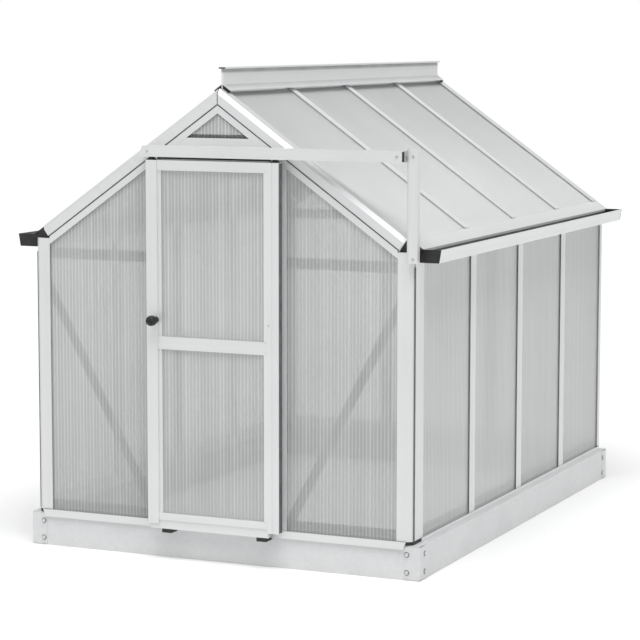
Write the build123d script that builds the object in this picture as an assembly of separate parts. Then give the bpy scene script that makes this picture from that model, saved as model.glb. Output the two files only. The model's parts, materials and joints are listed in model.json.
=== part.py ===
from build123d import *

import os
from math import cos, radians, sin, tan

# Walk-in greenhouse with a hung sliding door, glazed in twin-wall sheet on extruded aluminium bars.
# Millimetres. X runs to the right seen from the door, Y runs from the door to the rear, Z is up.
# The origin is on the ground, below the middle of the frame.

# Overall frame
HALF_WIDTH = 878.0           # outer face of the side walls
HALF_LENGTH = 1276.0         # outer face of the door wall and of the rear wall
POST_TOP = 1347.0            # top of the corner posts
ROOF_PITCH = 35.3            # degrees
EAVE_INSET = 32.0            # lower edge of the roof, inboard of the side wall face
EAVE_RISE = 51.5             # lower edge of the roof, above the corner posts

# Steel base
BASE_HEIGHT = 145.0
BASE_SIDE_OUTSET = 32.0      # base stands out past the side walls
BASE_END_INSET = 4.0         # base stands back from the door wall face
BASE_FLANGE = 45.0
BASE_SHEET = 2.0
COVER_WIDTH = 70.0
COVER_MARGIN = 4.0
BASE_BOLT_FROM_CORNER = 55.0
BASE_BOLT_LOW = 32.0
BASE_BOLT_BELOW_TOP = 38.0   # upper bolts, below the top of the base
BASE_BOLT_RADIUS = 11.5
BASE_BOLT_HEAD = 4.0
HEAD_CHAMFER = 1.0
ANCHOR_HOLE_RADIUS = 5.5
ANCHOR_FROM_CORNER = 90.0

# Glazing
PANEL = 4.0                  # sheet thickness
PANEL_RECESS = 10.0          # outer face of a sheet, behind the outer face of its bars
PANEL_GAP = 1.0              # free play of a sheet at its edges
WALL = 3.0                   # wall of the extruded bars
WEB = 4.0
STUD_FLANGE = 64.0
JAMB_FLANGE = 56.0
ROOF_BAR_FLANGE = 44.0
INNER_FLANGE = 44.0

# Corner posts
POST_CHAMFER = 17.0
POST_FLANGE = 69.0           # flange seen from the end of the house
POST_WEB = 22.0              # web, in from the edge of that flange
POST_GROOVE = 8.0
FRONT_RETURN = 123.0         # flange along the side wall, front posts
FRONT_RETURN_WEB = 22.0      # web, in from the edge of the front return
REAR_RETURN = 45.0           # flange along the side wall, rear posts
REAR_RETURN_WEB = 15.0       # web, in from the edge of the rear return
KEY_HEIGHT = 15.0

# Sills
SILL_HEIGHT = 15.0
SILL_LIP_DROP = 17.0         # the end sills hang over the base by this much
SILL_SIDE_FRONT = 6.0        # outer wall of the side sills, ahead of the bars
SILL_END_FRONT = 8.0         # outer wall of the end sills, ahead of the bars
SILL_BACK_HEIGHT = 30.0
SILL_LIP_END = 24.0          # lip stops short of the side wall face, at its top
SILL_LIP_SLANT = 12.0

# Door wall and rear wall
JAMB_CENTRE = 287.0
HEADER_CLEAR = 2.0           # header ends clear of the jambs by this much in height
HEADER_HEIGHT = 79.0
RAIL_BELOW_POST = 87.0
RAIL_HEIGHT = 46.0
RAIL_DEPTH = 5.0
BRACE_FOOT = 46.0            # level cut at the foot of a brace
BRACE_HEAD = 88.0            # upright cut at its head
BRACE_DEPTH = 3.0
BRACE_FROM_JAMB = 27.0       # foot, from the inner edge of the jamb
BRACE_ABOVE_SILL = 20.0
BRACE_BELOW_POST = 99.0      # top of the head, below the corner post tops

# Roof edge bars and gable bars, as depths below the top of the roof
RAFTER_DEPTH = 51.5
RAFTER_FLANGE = 71.0
RAFTER_WEB = 22.0            # web, in from the edge of the rafter flange
GABLE_GAP = 6.0              # shadow gap between rafter and gable bar
GABLE_BAR = 27.0
GABLE_WEB = 4.5              # web, in from the upper edge of the gable bar
GABLE_SEAT_GAP = 0.3         # gable bar, below the underside of the rafter

# Ridge
RIDGE_WEB = 10.0
RIDGE_DEPTH = 65.0
RIDGE_CAP_HALF = 36.0
RIDGE_CAP_LIFT = 12.5        # skirts of the cap, above the top of the roof
RIDGE_CAP_SHEET = 3.0
RIDGE_END = 46.0             # crest stops short of the wall faces
CREST_HEIGHT = 87.0
CREST_WEB = 8.0
CREST_FLANGE = 30.0
CREST_FLANGE_SHEET = 7.0

# Eaves and gutters
EAVE_STRIP_DROP = 4.0        # upper edge of the eave strip, below the top of the roof
EAVE_REACH = 20.0            # lower edge of the eave strip, past the side wall face
EAVE_LIP = 11.0              # lower edge of the eave strip, above the corner posts
EAVE_CAP = 48.0
EAVE_CAP_REAR = 6.0
EAVE_CAP_INSET = 12.0
EAVE_LEG_DROP = 47.0
GUTTER_GAP = 12.0            # gutter stands off the side wall
GUTTER_WIDTH = 94.0
GUTTER_DROP = 42.0           # gutter sole, below the corner post tops
GUTTER_RISE = 12.0           # outer lip, above the corner post tops
GUTTER_SHEET = 3.0
GUTTER_SHORT = 40.0          # gutter stops short of the wall faces
GUTTER_CAP = 5.0
GUTTER_FLARE = 9.0

# Door
DOOR_LAP = 20.0              # door edge, past the middle of the jamb
DOOR_SILL_LAP = 5.0          # stile foot, below the sill top
DOOR_FRONT = 60.0            # door face, ahead of the door wall
DOOR_THICKNESS = 30.0
DOOR_TO_TRACK = 13.0
STILE = 52.0
STILE_STEP = 16.0
STILE_STEP_BACK = 9.0        # step of the left stile, behind the door face
STILE_GROOVE = 4.0
STILE_GROOVE_DEPTH = 2.0
STILE_GROOVE_FROM_EDGE = 30.0
DOOR_RAIL_BACK = 3.0         # rails, behind the door face
TOP_RAIL = 43.0
MID_RAIL_UP = 748.0          # middle rail, above the stile foot
MID_RAIL = 54.0
BOTTOM_RAIL_UP = 17.0
BOTTOM_RAIL = 30.0
SKIRT_BACK = 8.0             # skirt, behind the door face
SKIRT_DROP = 22.0            # skirt, below the stile foot
SKIRT_LEFT_END = 8.0         # skirt stops short of the left door edge
DOOR_PANEL_BACK = 12.0       # sheet, behind the door face
DOOR_SLOT = 11.0
FOOT_FROM_STILE = 33.0
FOOT_LENGTH = 46.0
FOOT_HEIGHT = 17.0
FOOT_CLEAR = 3.0
KNOB_FROM_EDGE = 45.0
KNOB_UP = 872.0              # knob, above the stile foot
KNOB_LENGTH = 61.0
KNOB_RADIUS = 22.0
KNOB_NECK = 9.0
CATCH_FROM_EDGE = 46.0
CATCH_RADIUS = 5.0

# Track, hangers and wheels
TRACK_HEIGHT = 46.0
TRACK_BELOW_HEADER = 34.0
TRACK_OVERHANG = 15.0        # upper left end, past the door edge
TRACK_END_SLANT = 22.0
TRACK_SHORT = 28.0           # right end, short of the side wall face
TRACK_LIP = 9.0
TRACK_SLOT = 18.0
HANGER_FROM_EDGE = 22.0
HANGER_LENGTH = 26.0
HANGER_BACK = 20.0           # hanger stem, behind the door face
HANGER_SHEET = 4.0
HANGER_FOOT = 6.0
HANGER_FOOT_INSET = 1.0
WHEEL_RADIUS = 13.0
WHEEL_WIDTH = 9.0
WHEEL_CLEAR = 0.4
AXLE_RADIUS = 3.0
SUPPORT_LIP = 16.0
SUPPORT_WIDTH = 40.0
SUPPORT_DEPTH = 27.0
SUPPORT_WALL = 2.0
SUPPORT_DROP = 41.0          # support post foot, below the corner post top
SUPPORT_RISE = 11.0          # support post head, above the track
SPLICE_HALF = 22.0
SPLICE_SHEET = 3.0
SCREW_RADIUS = 6.0
SCREW_HEAD = 3.0

# Roof vent, in the hidden slope
VENT_BAY = 1
VENT_HINGE_GAP = 6.0         # along the slope, below the ridge cap
VENT_LENGTH = 535.0
VENT_SIDE_GAP = 5.0
VENT_RAIL = 40.0
VENT_RAISE = 4.0
VENT_DEPTH = 14.0
VENT_SHEET_DEPTH = 4.0
TRANSOM_WIDTH = 40.0
TRANSOM_LAP = 20.0
TRANSOM_DEPTH = 14.0
STAY_LENGTH = 250.0
STAY_WIDTH = 18.0
STAY_SHEET = 3.0
STAY_DROP = 8.0
STAY_PIN = 2.5
STAY_GAP = 0.4
STAY_CLEAR = 4.0             # stay bracket, clear of the closed vent
STAY_WRAP = 4.0

# Worked out from the sizes above
COS_PITCH = cos(radians(ROOF_PITCH))
SIN_PITCH = sin(radians(ROOF_PITCH))
TAN_PITCH = tan(radians(ROOF_PITCH))
EAVE_X = HALF_WIDTH - EAVE_INSET
APEX_Z = POST_TOP + EAVE_RISE + EAVE_X * TAN_PITCH
EAVE_RUN = EAVE_X / COS_PITCH
BASE_HALF_X = HALF_WIDTH + BASE_SIDE_OUTSET
BASE_HALF_Y = HALF_LENGTH - BASE_END_INSET
SEAT = PANEL_RECESS + PANEL              # depth where a sheet rests on its inner flange
BAR_BACK = SEAT + WALL                   # depth of the back of every bar
SILL_FLOOR = BASE_HEIGHT + WALL
SILL_TOP = BASE_HEIGHT + SILL_HEIGHT
POST_FOOT = BASE_HEIGHT + KEY_HEIGHT
STUD_TOP = POST_TOP - EAVE_LEG_DROP
BAY_START = -HALF_LENGTH + FRONT_RETURN
BAY_END = HALF_LENGTH - REAR_RETURN
BAY_CLEAR = (BAY_END - BAY_START - 3 * STUD_FLANGE) / 4
BAR_CENTRES = [BAY_START + (i + 1) * BAY_CLEAR + (i + 0.5) * STUD_FLANGE for i in range(3)]
GABLE_BAR_TOP = RAFTER_DEPTH + GABLE_GAP
GABLE_BAR_BOTTOM = GABLE_BAR_TOP + GABLE_BAR
GABLE_WEB_TOP = GABLE_BAR_TOP + GABLE_WEB
HEADER_EDGE = JAMB_CENTRE - JAMB_FLANGE / 2
HEADER_BOTTOM = APEX_Z - GABLE_BAR_BOTTOM / COS_PITCH - HEADER_EDGE * TAN_PITCH + HEADER_CLEAR
HEADER_TOP = HEADER_BOTTOM + HEADER_HEIGHT
TRACK_TOP = HEADER_TOP - TRACK_BELOW_HEADER
TRACK_BOTTOM = TRACK_TOP - TRACK_HEIGHT
DOOR_HALF = JAMB_CENTRE + DOOR_LAP
DOOR_TOP = TRACK_BOTTOM - DOOR_TO_TRACK
DOOR_BOTTOM = SILL_TOP - DOOR_SILL_LAP
DOOR_FACE = -HALF_LENGTH - DOOR_FRONT
DOOR_BACK = DOOR_FACE + DOOR_THICKNESS
WHEEL_Z = TRACK_BOTTOM + WALL + WHEEL_CLEAR + WHEEL_RADIUS
VENT_TOP = RIDGE_CAP_HALF / COS_PITCH + VENT_HINGE_GAP
VENT_BOTTOM = VENT_TOP + VENT_LENGTH

nodes = {}


def roof_z(x, depth):
    """Height of the roof surface that lies depth below the roof top, at distance x from the ridge."""
    return APEX_Z - depth / COS_PITCH - x * TAN_PITCH


def roof_x(z, depth):
    """Distance from the ridge where the surface depth below the roof top has height z."""
    return (APEX_Z - depth / COS_PITCH - z) / TAN_PITCH


def face(points):
    """Flat face inside a closed outline."""
    return make_face(Polyline(*points, close=True))


def box(x0, x1, y0, y1, z0, z1):
    """Block between two corners."""
    return Pos((x0 + x1) / 2, (y0 + y1) / 2, (z0 + z1) / 2) * Box(x1 - x0, y1 - y0, z1 - z0)


def run_x(section, x0, x1):
    """Extrudes a (y, z) section along X."""
    plane = Plane(origin=(x0, 0, 0), x_dir=(0, 1, 0), z_dir=(1, 0, 0))
    return extrude(plane * section, amount=x1 - x0, dir=(1, 0, 0))


def run_y(section, y0, y1):
    """Extrudes an (x, z) section along Y."""
    plane = Plane(origin=(0, y0, 0), x_dir=(1, 0, 0), z_dir=(0, -1, 0))
    return extrude(plane * section, amount=y1 - y0, dir=(0, 1, 0))


def run_z(section, z0, z1):
    """Extrudes an (x, y) section upwards."""
    return extrude(Pos(0, 0, z0) * section, amount=z1 - z0, dir=(0, 0, 1))


def run_slope(section, start, end):
    """Extrudes a (y, height above the roof top) section down the right slope, from the ridge line."""
    down = (COS_PITCH, 0, -SIN_PITCH)
    plane = Plane(origin=(0, 0, APEX_Z), x_dir=(0, 1, 0), z_dir=down).offset(start)
    return extrude(plane * section, amount=end - start, dir=down)


def right_of(part, x):
    """Keeps what lies to the right of a plane across the house."""
    return split(part, bisect_by=Plane.YZ.offset(x), keep=Keep.TOP)


def left_of(part, x):
    """Keeps what lies to the left of a plane across the house."""
    return split(part, bisect_by=Plane.YZ.offset(x), keep=Keep.BOTTOM)


def under_roof(part, depth):
    """Keeps what lies below the surface that is depth under the top of the right slope."""
    plane = Plane(origin=(0, 0, roof_z(0, depth)), z_dir=(SIN_PITCH, 0, COS_PITCH))
    return split(part, bisect_by=plane, keep=Keep.BOTTOM)


def flip_x(part):
    """Mirror image across the ridge."""
    return mirror(part, about=Plane.YZ)


def flip_y(part):
    """Mirror image from the door end to the rear end."""
    return mirror(part, about=Plane.XZ)


def turn_round(part):
    """The same part at the other end of the house, turned half round."""
    return Rot(0, 0, 180) * part


def both_sides(part):
    """A part and its mirror image across the ridge."""
    return [part, flip_x(part)]


def add(name, *parts):
    """Puts solids into a named node."""
    for part in parts:
        nodes.setdefault(name, []).extend(part.solids())


def bar_section(centre, flange, turn):
    """Glazing bar: outer flange, web and inner flange; turn maps (along, depth) to plane axes."""
    outer = flange / 2
    inner = INNER_FLANGE / 2
    web = WEB / 2
    half = [(outer, 0), (outer, WALL), (web, WALL), (web, SEAT), (inner, SEAT), (inner, BAR_BACK)]
    points = half + [(-along, depth) for along, depth in reversed(half)]
    return face([turn(centre + along, depth) for along, depth in points])


def base():
    """Four folded steel rails, their corner covers and bolts."""
    sheet = BASE_SHEET

    def channel(outer, inward):
        inner = outer + inward * BASE_FLANGE
        skin = outer + inward * sheet
        top = BASE_HEIGHT
        return face([(outer, 0), (inner, 0), (inner, sheet), (skin, sheet), (skin, top - sheet),
                     (inner, top - sheet), (inner, top), (outer, top)])

    front = run_x(channel(-BASE_HALF_Y, 1), -BASE_HALF_X, BASE_HALF_X)
    for side in (-1, 1):
        hole = Pos(side * (BASE_HALF_X - ANCHOR_FROM_CORNER), -BASE_HALF_Y + BASE_FLANGE / 2, sheet / 2)
        front -= hole * Cylinder(ANCHOR_HOLE_RADIUS, 2 * sheet)
    side_end = BASE_HALF_Y - BASE_FLANGE
    right = run_y(channel(BASE_HALF_X, -1), -side_end, side_end)
    add("base_rail_front", front)
    add("base_rail_rear", flip_y(front))
    add("base_rail_right", right)
    add("base_rail_left", flip_x(right))

    x0, y0 = BASE_HALF_X, -BASE_HALF_Y
    cover = face([(x0 - COVER_WIDTH, y0), (x0 - COVER_WIDTH, y0 - sheet), (x0, y0 - sheet), (x0 + sheet, y0),
                  (x0 + sheet, y0 + COVER_WIDTH), (x0, y0 + COVER_WIDTH), (x0, y0)])
    cover = run_z(cover, COVER_MARGIN, BASE_HEIGHT - COVER_MARGIN)
    for corner in both_sides(cover):
        add("base_corner_covers", corner, flip_y(corner))

    head = chamfer(Cylinder(BASE_BOLT_RADIUS, BASE_BOLT_HEAD).faces().sort_by(Axis.Z)[-1].edges(), HEAD_CHAMFER)
    reach = sheet + BASE_BOLT_HEAD / 2
    for z in (BASE_BOLT_LOW, BASE_HEIGHT - BASE_BOLT_BELOW_TOP):
        end_bolt = Pos(x0 - BASE_BOLT_FROM_CORNER, y0 - reach, z) * Rot(90, 0, 0) * head
        side_bolt = Pos(x0 + reach, y0 + BASE_BOLT_FROM_CORNER, z) * Rot(0, 90, 0) * head
        for bolt in both_sides(end_bolt) + both_sides(side_bolt):
            add("base_bolts", bolt, flip_y(bolt))


def sills():
    """Channels on the base that take the feet of the bars and the sheets."""

    def channel(front):
        """Closed outline in (depth, z)."""
        back = BAR_BACK + WALL
        return [(-front, BASE_HEIGHT), (back, BASE_HEIGHT), (back, BASE_HEIGHT + SILL_BACK_HEIGHT),
                (BAR_BACK, BASE_HEIGHT + SILL_BACK_HEIGHT), (BAR_BACK, SILL_FLOOR), (WALL - front, SILL_FLOOR),
                (WALL - front, SILL_TOP), (-front, SILL_TOP)]

    half = HALF_WIDTH - POST_FLANGE + POST_WEB - PANEL_GAP
    end_section = face([(-HALF_LENGTH + depth, z) for depth, z in channel(SILL_END_FRONT)])
    lip_top = HALF_WIDTH - SILL_LIP_END
    lip_low = lip_top - SILL_LIP_SLANT
    drop = BASE_HEIGHT - SILL_LIP_DROP
    lip = face([(-lip_low, drop), (lip_low, drop), (lip_top, SILL_TOP), (-lip_top, SILL_TOP)])
    lip_y = -HALF_LENGTH - SILL_END_FRONT
    front = run_x(end_section, -half, half) + run_y(lip, lip_y, lip_y + WALL)
    add("sill_front", front)
    add("sill_rear", flip_y(front))

    side_section = face([(HALF_WIDTH - depth, z) for depth, z in channel(SILL_SIDE_FRONT)])
    start = BAY_START - FRONT_RETURN_WEB + PANEL_GAP
    end = BAY_END + REAR_RETURN_WEB - PANEL_GAP
    right = run_y(side_section, start, end)
    add("sills_side", *both_sides(right))


def post_outline(side_return, side_web, grooved):
    """Corner post section as (in from side wall, in from end wall), with its two hollows."""
    c = POST_CHAMFER
    end_web = POST_FLANGE - POST_WEB
    shoulder = [(0, c)]
    skin = c
    if grooved:
        skin = c + POST_GROOVE
        shoulder += [(POST_GROOVE, c), (POST_GROOVE, skin), (0, skin)]
    outer = [(POST_FLANGE, 0), (c, 0), *shoulder, (0, side_return), (WALL, side_return), (WALL, side_web),
             (SEAT, side_web), (SEAT, side_return - WALL), (BAR_BACK, side_return - WALL), (BAR_BACK, BAR_BACK),
             (POST_FLANGE - WALL, BAR_BACK), (POST_FLANGE - WALL, SEAT), (end_web, SEAT), (end_web, WALL),
             (POST_FLANGE, WALL)]
    inner = end_web - WEB
    end_hollow = [(inner, WALL), (c + WALL, WALL), (c + WALL, SEAT), (inner, SEAT)]
    low = skin + WALL
    high = side_web - WEB
    side_hollow = [(WALL, low), (WALL, high), (SEAT, high), (SEAT, low)]
    return outer, end_hollow, side_hollow


def corner_posts():
    """Four chamfered corner posts on black corner keys."""

    def place(points):
        return face([(HALF_WIDTH - u, -HALF_LENGTH + v) for u, v in points])

    c = POST_CHAMFER
    deep = BAR_BACK + WALL
    wide = POST_FLANGE - POST_WEB
    returns = {"front": (FRONT_RETURN, FRONT_RETURN_WEB), "rear": (REAR_RETURN, REAR_RETURN_WEB)}
    for end, (side_return, web_inset) in returns.items():
        side_web = side_return - web_inset
        outer, end_hollow, side_hollow = post_outline(side_return, side_web, end == "front")
        post = run_z(place(outer) - place(end_hollow) - place(side_hollow), POST_FOOT, POST_TOP)
        key = place([(wide, 0), (c, 0), (0, c), (0, side_web), (deep, side_web), (deep, deep), (wide, deep)])
        key = run_z(key, BASE_HEIGHT, POST_FOOT)
        if end == "rear":
            post = flip_y(post)
            key = flip_y(key)
        add(f"corner_post_{end}_right", post)
        add(f"corner_post_{end}_left", flip_x(post))
        add("sill_corner_keys", *both_sides(key))


def uprights():
    """Studs of the side walls, door jambs and rear studs."""

    def side_turn(along, depth):
        return HALF_WIDTH - depth, along

    def end_turn(along, depth):
        return along, -HALF_LENGTH + depth

    for centre in BAR_CENTRES:
        stud = run_z(bar_section(centre, STUD_FLANGE, side_turn), SILL_FLOOR, STUD_TOP)
        add("side_studs_right", stud)
        add("side_studs_left", flip_x(stud))

    tall = run_z(bar_section(JAMB_CENTRE, JAMB_FLANGE, end_turn), SILL_FLOOR, HEADER_TOP)
    jamb = under_roof(tall, GABLE_BAR_BOTTOM)
    add("door_jamb_right", jamb)
    add("door_jamb_left", flip_x(jamb))
    add("rear_studs", flip_y(jamb), flip_x(flip_y(jamb)))


def gables():
    """Sloping bars, headers and roof edge rafters at both ends."""

    def place(points):
        return face([(-HALF_LENGTH + depth, -down) for depth, down in points])

    c = POST_CHAMFER
    web = RAFTER_FLANGE - RAFTER_WEB
    rafter = place([(0, RAFTER_DEPTH), (0, c), (c, 0), (RAFTER_FLANGE, 0), (RAFTER_FLANGE, WALL), (web, WALL),
                    (web, SEAT), (RAFTER_FLANGE - WALL, SEAT), (RAFTER_FLANGE - WALL, BAR_BACK),
                    (WALL, BAR_BACK), (WALL, RAFTER_DEPTH)])
    rafter -= place([(web - WEB, WALL), (c + WALL, WALL), (c + WALL, SEAT), (web - WEB, SEAT)])
    rafter = right_of(run_slope(rafter, -RAFTER_DEPTH, EAVE_RUN), 0)

    low = GABLE_WEB_TOP + WEB
    inner_top = BAR_BACK + GABLE_SEAT_GAP
    gable = place([(0, GABLE_BAR_TOP), (WALL, GABLE_BAR_TOP), (WALL, GABLE_WEB_TOP), (SEAT, GABLE_WEB_TOP),
                   (SEAT, inner_top), (BAR_BACK, inner_top), (BAR_BACK, GABLE_BAR_BOTTOM - WALL),
                   (SEAT, GABLE_BAR_BOTTOM - WALL), (SEAT, low), (WALL, low), (WALL, GABLE_BAR_BOTTOM),
                   (0, GABLE_BAR_BOTTOM)])
    gable = right_of(run_slope(gable, -GABLE_BAR_BOTTOM, EAVE_RUN + GABLE_BAR_BOTTOM), 0)
    gable = left_of(gable, HALF_WIDTH - POST_FLANGE)

    y0 = -HALF_LENGTH
    slot = HEADER_TOP - PANEL_RECESS
    header = face([(y0, HEADER_BOTTOM), (y0 + BAR_BACK, HEADER_BOTTOM), (y0 + BAR_BACK, HEADER_TOP),
                   (y0 + SEAT, HEADER_TOP), (y0 + SEAT, slot), (y0 + WALL, slot), (y0 + WALL, HEADER_TOP),
                   (y0, HEADER_TOP)])
    header -= face([(y0 + WALL, HEADER_BOTTOM + WALL), (y0 + SEAT, HEADER_BOTTOM + WALL),
                    (y0 + SEAT, slot - WEB), (y0 + WALL, slot - WEB)])
    header = run_x(header, -HALF_WIDTH, HALF_WIDTH)
    header = under_roof(flip_x(under_roof(header, GABLE_BAR_BOTTOM)), GABLE_BAR_BOTTOM)

    for end in ("front", "rear"):
        if end == "rear":
            rafter, gable, header = turn_round(rafter), turn_round(gable), turn_round(header)
        add(f"roof_edge_rafters_{end}", *both_sides(rafter))
        add(f"gable_bars_{end}", *both_sides(gable))
        add(f"header_{end}", header)


def cross_rails_and_braces():
    """Flat rails across both ends and the diagonal braces of the door wall, behind the bars."""
    back = -HALF_LENGTH + BAR_BACK
    outer = HALF_WIDTH - BAR_BACK
    jamb_in = JAMB_CENTRE - INNER_FLANGE / 2
    rail_z = POST_TOP - RAIL_BELOW_POST
    rail = box(jamb_in, outer, back, back + RAIL_DEPTH, rail_z, rail_z + RAIL_HEIGHT)
    add("cross_rails", *both_sides(rail))
    add("cross_rails", flip_y(box(-outer, outer, back, back + RAIL_DEPTH, rail_z, rail_z + RAIL_HEIGHT)))

    foot = jamb_in + BRACE_FROM_JAMB
    foot_z = SILL_TOP + BRACE_ABOVE_SILL
    head = HALF_WIDTH - POST_FLANGE + INNER_FLANGE
    head_z = POST_TOP - BRACE_BELOW_POST
    strap = face([(foot, foot_z), (foot + BRACE_FOOT, foot_z), (head, head_z - BRACE_HEAD), (head, head_z)])
    add("wall_braces", *both_sides(run_y(strap, back, back + BRACE_DEPTH)))


def roof_bars_and_ridge():
    """Sloping glazing bars, the ridge beam inside and the crested ridge cap outside."""

    def turn(along, depth):
        return along, -depth

    for centre in BAR_CENTRES:
        bar = run_slope(bar_section(centre, ROOF_BAR_FLANGE, turn), -BAR_BACK, EAVE_RUN)
        bar = right_of(bar, RIDGE_WEB / 2)
        add("roof_bars_right", bar)
        add("roof_bars_left", flip_x(bar))

    half = RIDGE_WEB / 2
    beam = face([(-half, APEX_Z - RIDGE_DEPTH), (half, APEX_Z - RIDGE_DEPTH), (half, roof_z(half, 0)),
                 (0, APEX_Z), (-half, roof_z(half, 0))])
    beam_end = HALF_LENGTH - RAFTER_FLANGE
    add("ridge_beam", run_y(beam, -beam_end, beam_end))

    edge = RIDGE_CAP_HALF
    web = CREST_WEB / 2
    crest = APEX_Z + CREST_HEIGHT
    flange = CREST_FLANGE / 2
    under = crest - CREST_FLANGE_SHEET
    skirt = -RIDGE_CAP_LIFT
    back = skirt - RIDGE_CAP_SHEET
    right = [(0, APEX_Z), (web, roof_z(web, 0)), (web, roof_z(web, skirt)), (edge, roof_z(edge, skirt)),
             (edge, roof_z(edge, back)), (web, roof_z(web, back)), (web, under), (flange, under),
             (flange, crest)]
    outline = right + [(-x, z) for x, z in reversed(right[1:])]
    crest_end = HALF_LENGTH - RIDGE_END
    add("ridge_cap", run_y(face(outline), -crest_end, crest_end))


def eaves_and_gutters():
    """Eave beams on the posts, gutters beside them and their black end caps."""
    heel = EAVE_X - EAVE_RISE * TAN_PITCH
    lip = HALF_WIDTH + EAVE_REACH
    top_x = EAVE_X - EAVE_STRIP_DROP * SIN_PITCH
    top_z = POST_TOP + EAVE_RISE - EAVE_STRIP_DROP * COS_PITCH
    outline = face([(heel, POST_TOP), (lip, POST_TOP), (lip, POST_TOP + EAVE_LIP), (top_x, top_z)])
    hollow = offset(outline, amount=-WALL, kind=Kind.INTERSECTION)
    cap_end = HALF_LENGTH - EAVE_CAP_INSET
    beam_start = EAVE_CAP - cap_end
    beam_end = cap_end - EAVE_CAP_REAR
    beam = run_y(outline - hollow, beam_start, beam_end)
    leg_out = HALF_WIDTH - SEAT
    beam += box(leg_out - WALL, leg_out, BAY_START + PANEL_GAP, BAY_END - PANEL_GAP, STUD_TOP, POST_TOP)
    add("eave_beam_right", beam)
    add("eave_beam_left", flip_x(beam))
    for start, end in ((-cap_end, beam_start), (beam_end, cap_end)):
        add("eave_end_caps", *both_sides(run_y(outline, start, end)))

    back = HALF_WIDTH + GUTTER_GAP
    rim = back + GUTTER_WIDTH
    sole = rim - GUTTER_FLARE
    sheet = GUTTER_SHEET
    low = POST_TOP - GUTTER_DROP
    high = POST_TOP + GUTTER_RISE
    gutter = face([(back, POST_TOP), (back, low), (sole, low), (rim, high), (rim - 2 * sheet, high),
                   (rim - 2 * sheet, high - sheet), (rim - sheet, high - sheet), (sole - sheet, low + sheet),
                   (back + sheet, low + sheet), (back + sheet, POST_TOP)])
    gutter_end = HALF_LENGTH - GUTTER_SHORT
    trough = run_y(gutter, -gutter_end, gutter_end)
    add("gutter_right", trough)
    add("gutter_left", flip_x(trough))
    notch = lip + PANEL_GAP
    plug = face([(back, POST_TOP), (back, low), (sole, low), (rim, high), (notch, high), (notch, POST_TOP)])
    plug = run_y(plug, -gutter_end - GUTTER_CAP, -gutter_end)
    for side in both_sides(plug):
        add("gutter_end_caps", side, flip_y(side))


def wall_panels():
    """Twin-wall sheets of the four walls and the gable tops."""
    y0 = -HALF_LENGTH + PANEL_RECESS
    y1 = y0 + PANEL
    play = WEB / 2 + PANEL_GAP
    low = SILL_FLOOR + PANEL_GAP
    inner = JAMB_CENTRE + play
    outer = HALF_WIDTH - POST_FLANGE + POST_WEB - PANEL_GAP
    edge = GABLE_WEB_TOP + WEB + PANEL_GAP
    bay = face([(inner, low), (outer, low), (outer, roof_z(outer, edge)), (inner, roof_z(inner, edge))])
    bay = run_y(bay, y0, y1)
    add("wall_panels_front", *both_sides(bay))
    add("wall_panels_rear", *both_sides(flip_y(bay)))
    middle = JAMB_CENTRE - play
    add("wall_panels_rear", flip_y(box(-middle, middle, y0, y1, low, HEADER_BOTTOM - PANEL_GAP)))

    base_z = HEADER_TOP - PANEL_RECESS + PANEL_GAP
    half = roof_x(base_z, edge)
    top = run_y(face([(-half, base_z), (half, base_z), (0, roof_z(0, edge))]), y0, y1)
    add("wall_panels_front", top)
    add("wall_panels_rear", flip_y(top))

    starts = [BAY_START - FRONT_RETURN_WEB + PANEL_GAP] + [centre + play for centre in BAR_CENTRES]
    ends = [centre - play for centre in BAR_CENTRES] + [BAY_END + REAR_RETURN_WEB - PANEL_GAP]
    x1 = HALF_WIDTH - PANEL_RECESS
    for start, end in zip(starts, ends):
        panel = box(x1 - PANEL, x1, start, end, low, POST_TOP - PANEL_GAP)
        add("wall_panels_right", panel)
        add("wall_panels_left", flip_x(panel))


def roof_panels():
    """Sheets of both slopes; one bay of the hidden slope is shortened for the vent."""
    play = WEB / 2 + PANEL_GAP
    edge = HALF_LENGTH - RAFTER_FLANGE + RAFTER_WEB - PANEL_GAP
    starts = [-edge] + [centre + play for centre in BAR_CENTRES]
    ends = [centre - play for centre in BAR_CENTRES] + [edge]
    clear = RIDGE_WEB / 2 + PANEL_GAP
    for i, (start, end) in enumerate(zip(starts, ends)):
        section = face([(start, -PANEL_RECESS), (end, -PANEL_RECESS), (end, -SEAT), (start, -SEAT)])
        panel = right_of(run_slope(section, -SEAT, EAVE_RUN - PANEL_GAP), clear)
        add("roof_panels_right", panel)
        if i == VENT_BAY:
            top = VENT_BOTTOM - TRANSOM_LAP + TRANSOM_WIDTH + PANEL_GAP
            panel = run_slope(section, top, EAVE_RUN - PANEL_GAP)
        add("roof_panels_left", flip_x(panel))


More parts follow.
